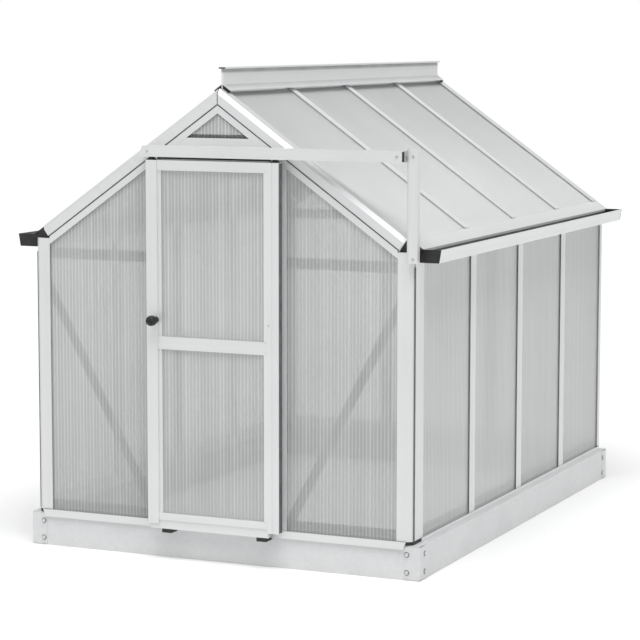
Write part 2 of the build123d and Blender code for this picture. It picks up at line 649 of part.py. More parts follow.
def roof_vent():
    """Top-hung vent with its transom and stay, in the left slope."""
    left = BAR_CENTRES[VENT_BAY - 1]
    right = BAR_CENTRES[VENT_BAY]
    start = left + ROOF_BAR_FLANGE / 2 + VENT_SIDE_GAP
    end = right - ROOF_BAR_FLANGE / 2 - VENT_SIDE_GAP
    top = VENT_RAISE
    bottom = VENT_RAISE - VENT_DEPTH

    def slab(y0, y1, high, low, t0, t1):
        return run_slope(face([(y0, high), (y1, high), (y1, low), (y0, low)]), t0, t1)

    frame = slab(start, end, top, bottom, VENT_TOP, VENT_BOTTOM)
    rail = VENT_RAIL
    frame -= slab(start + rail, end - rail, top, bottom, VENT_TOP + rail, VENT_BOTTOM - rail)
    rebate = VENT_RAIL / 2
    high = top - VENT_SHEET_DEPTH
    pane = (start + rebate, end - rebate, high, high - PANEL, VENT_TOP + rebate, VENT_BOTTOM - rebate)
    frame -= slab(*pane)
    add("vent_frame", flip_x(frame))
    add("vent_panel", flip_x(slab(*pane)))

    low = bottom - TRANSOM_DEPTH
    t0 = VENT_BOTTOM - TRANSOM_LAP
    inset = INNER_FLANGE / 2
    transom = slab(left + inset, right - inset, bottom, low, t0, t0 + TRANSOM_WIDTH)
    middle = (start + end) / 2
    wide = STAY_WIDTH / 2
    eye_t = t0 - STAY_DROP
    eye_h = bottom - STAY_CLEAR - STAY_DROP
    ear_side = middle - wide - STAY_GAP
    ear = slab(ear_side - WALL, ear_side, bottom - STAY_CLEAR, eye_h - STAY_DROP, t0 - 2 * STAY_DROP, t0)
    eye_x = eye_t * COS_PITCH + eye_h * SIN_PITCH
    eye_z = APEX_Z - eye_t * SIN_PITCH + eye_h * COS_PITCH
    place = Pos(eye_x, middle, eye_z) * Rot(90, 0, 0)
    pin = place * Cylinder(STAY_PIN, STAY_WIDTH + 2 * STAY_GAP)
    add("roof_bars_left", flip_x(transom + ear + pin))
    thin = STAY_SHEET / 2
    arm = box(eye_x - thin, eye_x + thin, middle - wide, middle + wide, eye_z - STAY_LENGTH, eye_z)
    arm += place * Cylinder(STAY_PIN + STAY_WRAP, STAY_WIDTH)
    arm -= place * Cylinder(STAY_PIN + STAY_GAP, 2 * STAY_WIDTH)
    add("vent_stay", flip_x(arm))


def door():
    """Hung sliding door: stiles, rails, skirt, sheets, feet, knob and catch screw."""
    inner = DOOR_HALF - STILE
    mid_low = DOOR_BOTTOM + MID_RAIL_UP
    low_rail = DOOR_BOTTOM + BOTTOM_RAIL_UP
    openings = [(low_rail + BOTTOM_RAIL, mid_low), (mid_low + MID_RAIL, DOOR_TOP - TOP_RAIL)]
    slot_front = DOOR_FACE + DOOR_PANEL_BACK
    slot_back = slot_front + PANEL
    edge = inner - STILE_STEP

    def stile(step_front):
        """Right stile; step_front is the front of the step that holds the sheets."""
        tube = face([(inner, DOOR_FACE), (DOOR_HALF, DOOR_FACE), (DOOR_HALF, DOOR_BACK), (inner, DOOR_BACK)])
        tube -= face([(inner + WALL, DOOR_FACE + WALL), (DOOR_HALF - WALL, DOOR_FACE + WALL),
                      (DOOR_HALF - WALL, DOOR_BACK - WALL), (inner + WALL, DOOR_BACK - WALL)])
        post = run_z(tube, DOOR_BOTTOM, DOOR_TOP)
        for low, high in openings:
            step = box(edge, inner, step_front, DOOR_BACK, low, high)
            post += step - box(edge, edge + DOOR_SLOT, slot_front, slot_back, low, high)
        return post

    add("door_stile_left", flip_x(stile(DOOR_FACE + STILE_STEP_BACK)))
    groove_x = DOOR_HALF - STILE_GROOVE_FROM_EDGE
    groove = box(groove_x - STILE_GROOVE / 2, groove_x + STILE_GROOVE / 2, DOOR_FACE,
                 DOOR_FACE + STILE_GROOVE_DEPTH, DOOR_BOTTOM, DOOR_TOP)
    add("door_stile_right", stile(DOOR_FACE) - groove)

    rail_front = DOOR_FACE + DOOR_RAIL_BACK
    for low, height in ((DOOR_TOP - TOP_RAIL, TOP_RAIL), (mid_low, MID_RAIL), (low_rail, BOTTOM_RAIL)):
        high = low + height
        section = face([(rail_front, low), (DOOR_BACK, low), (DOOR_BACK, high), (rail_front, high)])
        section -= face([(rail_front + WALL, low + WALL), (DOOR_BACK - WALL, low + WALL),
                         (DOOR_BACK - WALL, high - WALL), (rail_front + WALL, high - WALL)])
        add("door_rails", run_x(section, -inner, inner))
    skirt_low = DOOR_BOTTOM - SKIRT_DROP
    skirt_end = DOOR_HALF - SKIRT_LEFT_END
    skirt = face([(-skirt_end, skirt_low), (inner, skirt_low), (inner, low_rail), (-inner, low_rail),
                  (-inner, DOOR_BOTTOM), (-skirt_end, DOOR_BOTTOM)])
    skirt_front = DOOR_FACE + SKIRT_BACK
    add("door_rails", run_y(skirt, skirt_front, DOOR_BACK))
    half = edge + DOOR_SLOT - PANEL_GAP
    for low, high in openings:
        add("door_panels", box(-half, half, slot_front, slot_back, low + PANEL_GAP, high - PANEL_GAP))

    foot_low = skirt_low - FOOT_HEIGHT
    toe_top = BASE_HEIGHT - SILL_LIP_DROP - FOOT_CLEAR
    toe_end = -BASE_HALF_Y - FOOT_CLEAR
    foot = face([(skirt_front, skirt_low), (skirt_front, foot_low), (toe_end, foot_low), (toe_end, toe_top),
                 (DOOR_BACK, toe_top), (DOOR_BACK, skirt_low)])
    foot_x = inner - FOOT_FROM_STILE
    foot = run_x(foot, foot_x - FOOT_LENGTH / 2, foot_x + FOOT_LENGTH / 2)
    add("door_feet", *both_sides(foot))

    r = KNOB_RADIUS
    n = KNOB_NECK
    top = KNOB_LENGTH
    shape = [(0, 0), (n + WALL, 0), (n, WALL), (n, top - 2 * r + WALL), (0.8 * r, top - 1.6 * r),
             (r, top - 1.2 * r), (r, top - 0.75 * r), (0.8 * r, top - 0.3 * r), (0.45 * r, top - 0.07 * r),
             (0, top)]
    knob = Rot(0, 0, 180) * revolve(face(shape), axis=Axis.Y)
    knob_z = DOOR_BOTTOM + KNOB_UP
    add("door_knob", Pos(KNOB_FROM_EDGE - DOOR_HALF, DOOR_FACE, knob_z) * knob)
    catch = Pos(DOOR_HALF - CATCH_FROM_EDGE, DOOR_FACE - SCREW_HEAD / 2, knob_z)
    add("door_catch_screw", catch * Rot(90, 0, 0) * Cylinder(CATCH_RADIUS, SCREW_HEAD))


def hangers_and_wheels():
    """Black hangers on the door stiles and the wheels that run in the track."""
    stem_back = DOOR_FACE + HANGER_BACK
    stem_front = stem_back - HANGER_SHEET
    wheel_back = stem_front - 2 * WHEEL_CLEAR
    axle_front = wheel_back - WHEEL_WIDTH - WHEEL_CLEAR
    for side, sign in (("left", -1), ("right", 1)):
        x = sign * (DOOR_HALF - HANGER_FROM_EDGE)
        x0 = x - HANGER_LENGTH / 2
        x1 = x + HANGER_LENGTH / 2
        hanger = box(x0, x1, DOOR_FACE + HANGER_FOOT_INSET, DOOR_BACK - HANGER_FOOT_INSET, DOOR_TOP,
                     DOOR_TOP + HANGER_FOOT)
        hanger += box(x0, x1, stem_front, stem_back, DOOR_TOP, WHEEL_Z + 2 * AXLE_RADIUS)
        axle = Cylinder(AXLE_RADIUS, stem_front - axle_front)
        hanger += Pos(x, (stem_front + axle_front) / 2, WHEEL_Z) * Rot(90, 0, 0) * axle
        add("door_hangers", hanger)
        wheel = Cylinder(WHEEL_RADIUS, WHEEL_WIDTH) - Cylinder(AXLE_RADIUS + WHEEL_CLEAR, WHEEL_WIDTH)
        add(f"door_wheel_{side}", Pos(x, wheel_back - WHEEL_WIDTH / 2, WHEEL_Z) * Rot(90, 0, 0) * wheel)


def track():
    """Hollow track over the door, the post that carries its free end, and their screws."""
    wall = -HALF_LENGTH
    front = DOOR_FACE
    low = TRACK_BOTTOM
    top = TRACK_TOP
    lip_end = front + WALL + TRACK_LIP
    back_lip = lip_end + TRACK_SLOT
    section = face([(wall, low), (wall, top), (front, top), (front, low), (lip_end, low), (lip_end, low + WALL),
                    (front + WALL, low + WALL), (front + WALL, top - WALL), (wall - WALL, top - WALL),
                    (wall - WALL, low + WALL), (back_lip, low + WALL), (back_lip, low)])
    left = -DOOR_HALF - TRACK_OVERHANG
    right = HALF_WIDTH - TRACK_SHORT
    rail = run_x(section, left - TRACK_END_SLANT, right)
    slant = Plane(origin=(left, 0, top), x_dir=(0, 1, 0), z_dir=(TRACK_HEIGHT, 0, -TRACK_END_SLANT))
    add("door_track", split(rail, bisect_by=slant, keep=Keep.TOP))

    x0 = right + SUPPORT_LIP
    x1 = x0 + SUPPORT_WIDTH
    deep = wall - SUPPORT_DEPTH
    w = SUPPORT_WALL
    post = face([(right, wall), (right, wall - w), (x0, wall - w), (x0, deep), (x1, deep), (x1, wall)])
    post -= face([(x0 + w, wall - w), (x0 + w, deep + w), (x1 - w, deep + w), (x1 - w, wall - w)])
    foot = POST_TOP - SUPPORT_DROP
    add("track_support_post", run_z(post, foot, top + SUPPORT_RISE))

    splice = box(right - SPLICE_HALF, x0 + SPLICE_HALF, wall, wall + SPLICE_SHEET, low + WALL, top - WALL)
    add("track_splice", splice)
    head = chamfer(Cylinder(SCREW_RADIUS, SCREW_HEAD).faces().sort_by(Axis.Z)[-1].edges(), HEAD_CHAMFER)
    middle = (low + top) / 2
    for x, y, z in (((x0 + x1) / 2, deep, foot + 3 * SCREW_RADIUS), ((x0 + x1) / 2, deep, middle),
                    (right - SPLICE_HALF, front, middle), (left + SPLICE_HALF, front, middle)):
        add("track_screws", Pos(x, y - SCREW_HEAD / 2, z) * Rot(90, 0, 0) * head)


base()
sills()
corner_posts()
uprights()
gables()
cross_rails_and_braces()
roof_bars_and_ridge()
eaves_and_gutters()
wall_panels()
roof_panels()
roof_vent()
door()
hangers_and_wheels()
track()

os.makedirs("parts", exist_ok=True)
for name, solids in nodes.items():
    shape = solids[0] if len(solids) == 1 else Compound(children=solids)
    export_step(shape, f"parts/{name}.step")
print(len(nodes), "nodes")
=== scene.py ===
"""Walk-in greenhouse: twin-wall sheets in aluminium bars on a steel base, dressed over its CAD frame."""

import json
import logging
import math
from dataclasses import dataclass
from enum import Enum
from typing import Iterable, Optional, Sequence

import bmesh
import bpy
from mathutils import Matrix, Vector


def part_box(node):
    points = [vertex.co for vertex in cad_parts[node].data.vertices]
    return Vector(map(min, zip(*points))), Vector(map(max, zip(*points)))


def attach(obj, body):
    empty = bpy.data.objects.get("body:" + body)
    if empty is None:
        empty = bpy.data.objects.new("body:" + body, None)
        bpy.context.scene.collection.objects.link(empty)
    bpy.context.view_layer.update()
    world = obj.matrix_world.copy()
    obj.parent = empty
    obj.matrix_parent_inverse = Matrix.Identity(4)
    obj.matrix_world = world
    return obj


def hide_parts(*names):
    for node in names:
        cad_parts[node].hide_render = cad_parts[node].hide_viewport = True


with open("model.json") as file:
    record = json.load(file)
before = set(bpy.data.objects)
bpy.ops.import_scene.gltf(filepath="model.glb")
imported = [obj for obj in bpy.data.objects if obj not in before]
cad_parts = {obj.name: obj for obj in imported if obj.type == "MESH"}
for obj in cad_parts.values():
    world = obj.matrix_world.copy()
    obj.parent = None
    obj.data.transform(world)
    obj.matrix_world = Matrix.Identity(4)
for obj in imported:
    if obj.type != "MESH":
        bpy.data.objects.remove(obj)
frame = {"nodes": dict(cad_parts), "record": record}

LOG = logging.getLogger("greenhouse")
MM = 0.001
ROOF_PITCH = math.radians(35.3)
SLOPE_RIGHT = Vector((math.cos(ROOF_PITCH), 0.0, -math.sin(ROOF_PITCH)))
SLOPE_LEFT = Vector((-math.cos(ROOF_PITCH), 0.0, -math.sin(ROOF_PITCH)))
AXIS_X = Vector((1.0, 0.0, 0.0))
AXIS_Y = Vector((0.0, 1.0, 0.0))
AXIS_Z = Vector((0.0, 0.0, 1.0))


class Slot(Enum):
    """Material slots of the record."""

    ALUMINIUM = "frame_aluminium"
    STEEL = "base_steel"
    SHEET = "twin_wall_sheet"
    PLASTIC = "black_plastic"
    ZINC = "zinc_screws"


class Body(Enum):
    """Moving groups of the house."""

    HOUSE = "house"
    DOOR = "door"
    WHEEL_LEFT = "wheel_left"
    WHEEL_RIGHT = "wheel_right"
    VENT = "vent"
    STAY = "stay"


class Run(Enum):
    """Direction in which a bar was extruded; its die lines follow it."""

    ACROSS = "across"
    ALONG = "along"
    UP = "up"
    SLOPE_RIGHT = "slope_right"
    SLOPE_LEFT = "slope_left"

    @property
    def turn(self) -> tuple[float, float, float]:
        """Turn about X, Y and Z that brings the X axis onto the run."""
        return {
            Run.ACROSS: (0.0, 0.0, 0.0),
            Run.ALONG: (0.0, 0.0, math.pi / 2),
            Run.UP: (0.0, -math.pi / 2, 0.0),
            Run.SLOPE_RIGHT: (0.0, ROOF_PITCH, 0.0),
            Run.SLOPE_LEFT: (0.0, -ROOF_PITCH, 0.0),
        }[self]


class Tree:
    """Hand for one node tree: adds nodes with their values and joins sockets."""

    def __init__(self, tree: bpy.types.NodeTree) -> None:
        """Takes the tree that the nodes go into."""
        self.tree = tree

    def add(self, kind: str, values: Optional[dict] = None, **settings) -> bpy.types.Node:
        """Adds one node.

        Args:
            kind: Node type name.
            values: Default values of its inputs, by socket name or index.
            **settings: Attributes of the node.

        Returns:
            The new node.
        """
        node = self.tree.nodes.new(kind)
        for name, value in settings.items():
            setattr(node, name, value)
        for name, value in (values or {}).items():
            node.inputs[name].default_value = value
        return node

    def join(self, source: bpy.types.NodeSocket, target: bpy.types.NodeSocket) -> None:
        """Joins an output to an input."""
        self.tree.links.new(source, target)

    def math(self, operation: str, first, second=None) -> bpy.types.NodeSocket:
        """Adds a Math node.

        Args:
            operation: Name of the operation.
            first: Socket or number for the first input.
            second: Socket or number for the second input, if it has one.

        Returns:
            The result's socket.
        """
        node = self.tree.nodes.new("ShaderNodeMath")
        node.operation = operation
        for slot, value in zip(node.inputs, (first, second)):
            if isinstance(value, bpy.types.NodeSocket):
                self.join(value, slot)
            elif value is not None:
                slot.default_value = value
        return node.outputs[0]

    def mix(self, factor: bpy.types.NodeSocket, dark: Sequence[float], light: Sequence[float]) -> bpy.types.NodeSocket:
        """Mixes two colours by a factor and returns the colour's socket."""
        node = self.tree.nodes.new("ShaderNodeMix")
        node.data_type = "RGBA"
        node.inputs["A"].default_value = (*dark, 1.0)
        node.inputs["B"].default_value = (*light, 1.0)
        self.join(factor, node.inputs["Factor"])
        return node.outputs["Result"]

    def span(self, value: bpy.types.NodeSocket, low: float, high: float, start: float = 0.0,
             end: float = 1.0) -> bpy.types.NodeSocket:
        """Maps a value from start..end to low..high, held at the ends, and returns the result's socket."""
        node = self.add("ShaderNodeMapRange", {"From Min": start, "From Max": end, "To Min": low, "To Max": high})
        self.join(value, node.inputs["Value"])
        return node.outputs["Result"]


class Effects:
    """Node groups that several finishes share; each is built once."""

    def __init__(self) -> None:
        """Starts with no group built."""
        self.built: dict[str, bpy.types.NodeTree] = {}

    def start(self, name: str, inputs: dict[str, tuple[str, object]], outputs: Sequence[str]) -> tuple[Tree, dict, dict]:
        """Opens a new group with its sockets.

        Args:
            name: Name of the group.
            inputs: Socket type and default value by input name.
            outputs: Names of the value outputs.

        Returns:
            The tree, its input sockets by name and its output sockets by name.
        """
        group = bpy.data.node_groups.new(name, "ShaderNodeTree")
        for title, (kind, value) in inputs.items():
            socket = group.interface.new_socket(title, in_out="INPUT", socket_type=kind)
            if value is not None:
                socket.default_value = value
        for title in outputs:
            group.interface.new_socket(title, in_out="OUTPUT", socket_type="NodeSocketFloat")
        tree = Tree(group)
        begin = tree.add("NodeGroupInput")
        end = tree.add("NodeGroupOutput")
        self.built[name] = group
        return tree, {s.name: s for s in begin.outputs}, {s.name: s for s in end.inputs}

    def die_lines(self) -> bpy.types.NodeTree:
        """Fine lines that the die leaves along a bar, with broader streaks between them."""
        if "die_lines" not in self.built:
            tree, taken, given = self.start(
                "die_lines", {"Vector": ("NodeSocketVector", None), "Fine": ("NodeSocketFloat", 900.0),
                              "Broad": ("NodeSocketFloat", 60.0)}, ("Lines", "Streaks"))
            for scale, output in (("Fine", "Lines"), ("Broad", "Streaks")):
                stretch = tree.add("ShaderNodeVectorMath", operation="MULTIPLY")
                stretch.inputs[1].default_value = (0.004, 1.0, 1.0)
                tree.join(taken["Vector"], stretch.inputs[0])
                noise = tree.add("ShaderNodeTexNoise", {"Detail": 2.0, "Roughness": 0.55})
                tree.join(stretch.outputs[0], noise.inputs["Vector"])
                tree.join(taken[scale], noise.inputs["Scale"])
                tree.join(noise.outputs["Fac"], given[output])
        return self.built["die_lines"]

    def clouding(self) -> bpy.types.NodeTree:
        """Slow change of tone over a surface."""
        if "clouding" not in self.built:
            tree, taken, given = self.start(
                "clouding", {"Vector": ("NodeSocketVector", None), "Scale": ("NodeSocketFloat", 3.0)}, ("Tone",))
            noise = tree.add("ShaderNodeTexNoise", {"Detail": 3.0, "Roughness": 0.5})
            tree.join(taken["Vector"], noise.inputs["Vector"])
            tree.join(taken["Scale"], noise.inputs["Scale"])
            tree.join(tree.span(noise.outputs["Fac"], 0.0, 1.0, 0.3, 0.7), given["Tone"])
        return self.built["clouding"]

    def ground_dust(self) -> bpy.types.NodeTree:
        """Dust that rain throws up on what stands near the ground."""
        if "ground_dust" not in self.built:
            tree, taken, given = self.start(
                "ground_dust", {"Vector": ("NodeSocketVector", None), "Reach": ("NodeSocketFloat", 0.08)}, ("Dust",))
            parts = tree.add("ShaderNodeSeparateXYZ")
            tree.join(taken["Vector"], parts.inputs[0])
            noise = tree.add("ShaderNodeTexNoise", {"Scale": 28.0, "Detail": 5.0, "Roughness": 0.65})
            tree.join(taken["Vector"], noise.inputs["Vector"])
            height = tree.math("DIVIDE", parts.outputs["Z"], taken["Reach"])
            fade = tree.span(height, 1.0, 0.0)
            rough = tree.span(noise.outputs["Fac"], 0.0, 1.0, 0.35, 0.75)
            tree.join(tree.math("MULTIPLY", fade, rough), given["Dust"])
        return self.built["ground_dust"]

    def grain(self) -> bpy.types.NodeTree:
        """Fine pebbled grain of moulded plastic and blasted metal."""
        if "grain" not in self.built:
            tree, taken, given = self.start(
                "grain", {"Vector": ("NodeSocketVector", None), "Scale": ("NodeSocketFloat", 900.0)}, ("Height",))
            cells = tree.add("ShaderNodeTexVoronoi", {"Randomness": 1.0}, feature="SMOOTH_F1")
            tree.join(taken["Vector"], cells.inputs["Vector"])
            tree.join(taken["Scale"], cells.inputs["Scale"])
            tree.join(cells.outputs["Distance"], given["Height"])
        return self.built["grain"]

    def cells(self) -> bpy.types.NodeTree:
        """Rows of cells in a twin-wall sheet: how near a point is to a rib, and each cell's own tone."""
        if "cells" not in self.built:
            tree, taken, given = self.start(
                "cells", {"Across": ("NodeSocketFloat", 0.0), "Pitch": ("NodeSocketFloat", 0.016)},
                ("Rib", "Cell"))
            count = tree.math("DIVIDE", taken["Across"], taken["Pitch"])
            inside = tree.math("FRACT", count)
            away = tree.math("ABSOLUTE", tree.math("SUBTRACT", inside, 0.5))
            tree.join(tree.span(away, 0.0, 1.0, 0.26, 0.5), given["Rib"])
            chance = tree.add("ShaderNodeTexWhiteNoise", noise_dimensions="1D")
            tree.join(tree.math("FLOOR", tree.math("ADD", count, 0.5)), chance.inputs["W"])
            tree.join(chance.outputs["Value"], given["Cell"])
        return self.built["cells"]


EFFECTS = Effects()


class Finish:
    """Base of the finishes: opens a material and places shared effects in it."""

    def open(self, name: str) -> tuple[bpy.types.Material, Tree, bpy.types.Node, bpy.types.NodeSocket]:
        """Opens a new material.

        Args:
            name: Name of the material.

        Returns:
            The material, its tree, its shader node and its object coordinates.
        """
        material = bpy.data.materials.new(name)
        material.use_nodes = True
        tree = Tree(material.node_tree)
        shader = next(n for n in material.node_tree.nodes if n.type == "BSDF_PRINCIPLED")
        place = tree.add("ShaderNodeTexCoord")
        return material, tree, shader, place.outputs["Object"]

    def effect(self, tree: Tree, group: bpy.types.NodeTree, vector: Optional[bpy.types.NodeSocket],
               **values: float) -> bpy.types.Node:
        """Places a shared effect in a material and returns its node."""
        node = tree.add("ShaderNodeGroup", node_tree=group)
        if vector is not None:
            tree.join(vector, node.inputs["Vector"])
        for name, value in values.items():
            node.inputs[name].default_value = value
        return node

    def bump(self, tree: Tree, shader: bpy.types.Node, height: bpy.types.NodeSocket, strength: float,
             distance: float) -> None:
        """Joins a height to the shader's normal through a Bump node."""
        node = tree.add("ShaderNodeBump", {"Strength": strength, "Distance": distance})
        tree.join(height, node.inputs["Height"])
        tree.join(node.outputs["Normal"], shader.inputs["Normal"])


@dataclass(frozen=True)
class AluminiumFinish(Finish):
    """Pale anodised aluminium with die lines along the run of the bar."""

    name: str = "aluminium"
    dark: tuple[float, float, float] = (0.70, 0.71, 0.715)
    light: tuple[float, float, float] = (0.80, 0.81, 0.81)
    metallic: float = 0.25
    roughness: tuple[float, float] = (0.34, 0.50)

    def material(self, run: Run) -> bpy.types.Material:
        """Makes the finish for bars of one run.

        Args:
            run: Direction of the die lines.

        Returns:
            The material.
        """
        material, tree, shader, place = self.open(f"{self.name}_{run.value}")
        turned = tree.add("ShaderNodeMapping", {"Rotation": run.turn}, vector_type="TEXTURE")
        tree.join(place, turned.inputs["Vector"])
        lines = self.effect(tree, EFFECTS.die_lines(), turned.outputs[0])
        tone = self.effect(tree, EFFECTS.clouding(), place, Scale=2.2)
        blend = tree.math("ADD", tree.math("MULTIPLY", lines.outputs["Streaks"], 0.6),
                          tree.math("MULTIPLY", tone.outputs["Tone"], 0.4))
        colour = self.tint(tree, place, tree.mix(blend, self.dark, self.light))
        tree.join(colour, shader.inputs["Base Color"])
        tree.join(tree.span(lines.outputs["Lines"], *self.roughness), shader.inputs["Roughness"])
        shader.inputs["Metallic"].default_value = self.metallic
        self.bump(tree, shader, lines.outputs["Lines"], 0.12, 0.0004)
        return material

    def tint(self, tree: Tree, place: bpy.types.NodeSocket, colour: bpy.types.NodeSocket) -> bpy.types.NodeSocket:
        """Leaves the colour as it is; a finish with painted shade changes it here."""
        return colour


@dataclass(frozen=True)
class GutterFinish(AluminiumFinish):
    """Aluminium of the gutters, set lighter than the bar aluminium as painted light, with painted shade inside the
    trough.
    """

    name: str = "gutter_aluminium"
    dark: tuple[float, float, float] = (0.75, 0.76, 0.765)
    light: tuple[float, float, float] = (0.86, 0.87, 0.87)
    # Colour of the painted shade inside the trough.
    trough_shade_colour: tuple[float, float, float] = (0.16, 0.16, 0.155)
    back: float = 0.0
    sole: float = 0.0
    foot: float = 0.0
    flare: float = 0.0

    def tint(self, tree: Tree, place: bpy.types.NodeSocket, colour: bpy.types.NodeSocket) -> bpy.types.NodeSocket:
        """Paints shade inside the trough.

        Args:
            tree: Tree of the material.
            place: Object coordinates.
            colour: Colour of the clean metal.

        Returns:
            The colour with the painted shade on it.
        """
        parts = tree.add("ShaderNodeSeparateXYZ")
        tree.join(place, parts.inputs[0])
        out = tree.math("ABSOLUTE", parts.outputs["X"])
        rise = tree.math("SUBTRACT", parts.outputs["Z"], self.sole)
        lip = tree.math("ADD", tree.math("MULTIPLY", rise, self.flare), self.foot)
        inside = tree.math("MULTIPLY", tree.math("LESS_THAN", out, lip), tree.math("GREATER_THAN", out, self.back))
        inside = tree.math("MULTIPLY", inside, tree.math("GREATER_THAN", rise, 0.0))
        # Painted shade inside the trough, mottled by clouding.
        blotch = self.effect(tree, EFFECTS.clouding(), place, Scale=14.0)
        painted_trough_shade = tree.math("MULTIPLY", inside, tree.span(blotch.outputs["Tone"], 0.7, 0.95))
        mixed = tree.add("ShaderNodeMix", {"B": (*self.trough_shade_colour, 1.0)}, data_type="RGBA")
        tree.join(painted_trough_shade, mixed.inputs["Factor"])
        tree.join(colour, mixed.inputs["A"])
        return mixed.outputs["Result"]


@dataclass(frozen=True)
class RidgeFinish(AluminiumFinish):
    """Aluminium of the ridge cap, set lighter than the bar aluminium as painted light, with painted shade under its
    flange and in its fold.
    """

    name: str = "ridge_aluminium"
    dark: tuple[float, float, float] = (0.78, 0.79, 0.795)
    light: tuple[float, float, float] = (0.89, 0.90, 0.90)
    # Colour of the painted shade under the flange and in the fold.
    line: tuple[float, float, float] = (0.30, 0.305, 0.31)
    flange: float = 0.0
    fold: float = 0.0
    reach: float = 19.0 * MM
    skirt: float = 23.0 * MM

    def tint(self, tree: Tree, place: bpy.types.NodeSocket, colour: bpy.types.NodeSocket) -> bpy.types.NodeSocket:
        """Paints shade on the web just below the flange and on the skirt below the fold.

        Args:
            tree: Tree of the material.
            place: Object coordinates.
            colour: Colour of the clean metal.

        Returns:
            The colour with the painted shade on it.
        """
        parts = tree.add("ShaderNodeSeparateXYZ")
        tree.join(place, parts.inputs[0])
        # Painted shade: a band just under the flange and a ramp down the skirt below the fold, mottled by clouding.
        near = tree.span(parts.outputs["Z"], 0.0, 1.0, self.flange - self.reach, self.flange - 0.6 * self.reach)
        below = tree.math("LESS_THAN", parts.outputs["Z"], self.flange + 0.3 * MM)
        fold_shade_ramp = tree.span(parts.outputs["Z"], 0.16, 0.55, self.fold - self.skirt, self.fold)
        painted_fold_shade = tree.math("MULTIPLY", fold_shade_ramp, tree.math("LESS_THAN", parts.outputs["Z"], self.fold))
        blotch = self.effect(tree, EFFECTS.clouding(), place, Scale=9.0)
        strength = tree.math("MULTIPLY", tree.math("ADD", tree.math("MULTIPLY", near, below), painted_fold_shade),
                             tree.span(blotch.outputs["Tone"], 0.65, 0.85))
        mixed = tree.add("ShaderNodeMix", {"B": (*self.line, 1.0)}, data_type="RGBA")
        tree.join(strength, mixed.inputs["Factor"])
        tree.join(colour, mixed.inputs["A"])
        return mixed.outputs["Result"]


@dataclass(frozen=True)
class SteelFinish(Finish):
    """Coated steel sheet of the base: faint spangle and dust near the ground."""

    dark: tuple[float, float, float] = (0.66, 0.67, 0.675)
    light: tuple[float, float, float] = (0.74, 0.745, 0.75)
    dust: tuple[float, float, float] = (0.58, 0.57, 0.55)

    def material(self) -> bpy.types.Material:
        """Makes the finish and returns its material."""
        material, tree, shader, place = self.open("coated_steel")
        spangle = tree.add("ShaderNodeTexVoronoi", {"Scale": 75.0, "Randomness": 1.0})
        tree.join(place, spangle.inputs["Vector"])
        flake = tree.add("ShaderNodeSeparateXYZ")
        tree.join(spangle.outputs["Color"], flake.inputs[0])
        tone = self.effect(tree, EFFECTS.clouding(), place, Scale=4.0)
        blend = tree.math("ADD", tree.math("MULTIPLY", flake.outputs["X"], 0.35),
                          tree.math("MULTIPLY", tone.outputs["Tone"], 0.65))
        colour = tree.mix(blend, self.dark, self.light)
        dust = self.effect(tree, EFFECTS.ground_dust(), place, Reach=0.05)
        mixed = tree.add("ShaderNodeMix", data_type="RGBA")
        tree.join(tree.math("MULTIPLY", dust.outputs["Dust"], 0.55), mixed.inputs["Factor"])
        tree.join(colour, mixed.inputs["A"])
        mixed.inputs["B"].default_value = (*self.dust, 1.0)
        tree.join(mixed.outputs["Result"], shader.inputs["Base Color"])
        tree.join(tree.span(flake.outputs["Y"], 0.38, 0.52), shader.inputs["Roughness"])
        shader.inputs["Metallic"].default_value = 0.2
        self.bump(tree, shader, tone.outputs["Tone"], 0.05, 0.002)
        return material


@dataclass(frozen=True)
class SheetFinish(Finish):
    """Translucent twin-wall sheet whose ribs show as soft stripes."""

    cell: tuple[float, float, float] = (0.57, 0.585, 0.585)
    rib: tuple[float, float, float] = (0.86, 0.87, 0.87)
    alpha: tuple[float, float] = (0.40, 0.52)
    stripe: float = 0.80
    chance: float = 0.28
    edge: float = 0.5
    veil: float = 0.18
    veil_rise: tuple[float, float] = (1.72, 1.80)
    # fade lifts the tone with height over fade_rise; by default the sheets come out darker towards the bottom.
    fade: tuple[float, float] = (-0.10, 0.06)
    fade_rise: tuple[float, float] = (0.25, 1.20)
    pitch: float = 0.016

    def material(self, name: str, axis: str) -> bpy.types.Material:
        """Makes the finish for sheets with their cells side by side along one axis.

        Args:
            name: Name of the material.
            axis: X or Y, the axis that crosses the ribs.

        Returns:
            The material.
        """
        material, tree, shader, place = self.open(name)
        parts = tree.add("ShaderNodeSeparateXYZ")
        tree.join(place, parts.inputs[0])
        cells = self.effect(tree, EFFECTS.cells(), None, Pitch=self.pitch)
        tree.join(parts.outputs[axis], cells.inputs["Across"])
        tone = self.effect(tree, EFFECTS.clouding(), place, Scale=1.6)
        own = tree.math("MULTIPLY", tree.math("SUBTRACT", cells.outputs["Cell"], 0.5), self.chance)
        blend = tree.math("ADD", tree.math("MULTIPLY", cells.outputs["Rib"], self.stripe), own)
        blend = tree.math("ADD", blend, tree.math("MULTIPLY", tone.outputs["Tone"], 0.2))
        edge = tree.add("ShaderNodeAttribute", attribute_name="edge_shade")
        shade = tree.math("MULTIPLY", tree.math("POWER", edge.outputs["Fac"], 1.6), self.edge)
        lift = tree.span(parts.outputs["Z"], *self.fade, *self.fade_rise)
        blend = tree.math("SUBTRACT", tree.math("ADD", blend, lift), shade)
        held = tree.span(blend, 0.0, 1.0)
        tree.join(tree.mix(held, self.cell, self.rib), shader.inputs["Base Color"])
        milk = tree.span(parts.outputs["Z"], 0.0, self.veil, *self.veil_rise)
        cover = tree.math("ADD", tree.span(held, *self.alpha), tree.math("MULTIPLY", shade, 0.3))
        tree.join(tree.math("ADD", cover, milk), shader.inputs["Alpha"])
        tree.join(tree.span(cells.outputs["Rib"], 0.22, 0.42), shader.inputs["Roughness"])
        shader.inputs["IOR"].default_value = 1.4
        self.bump(tree, shader, cells.outputs["Rib"], 0.25, 0.0006)
        return material


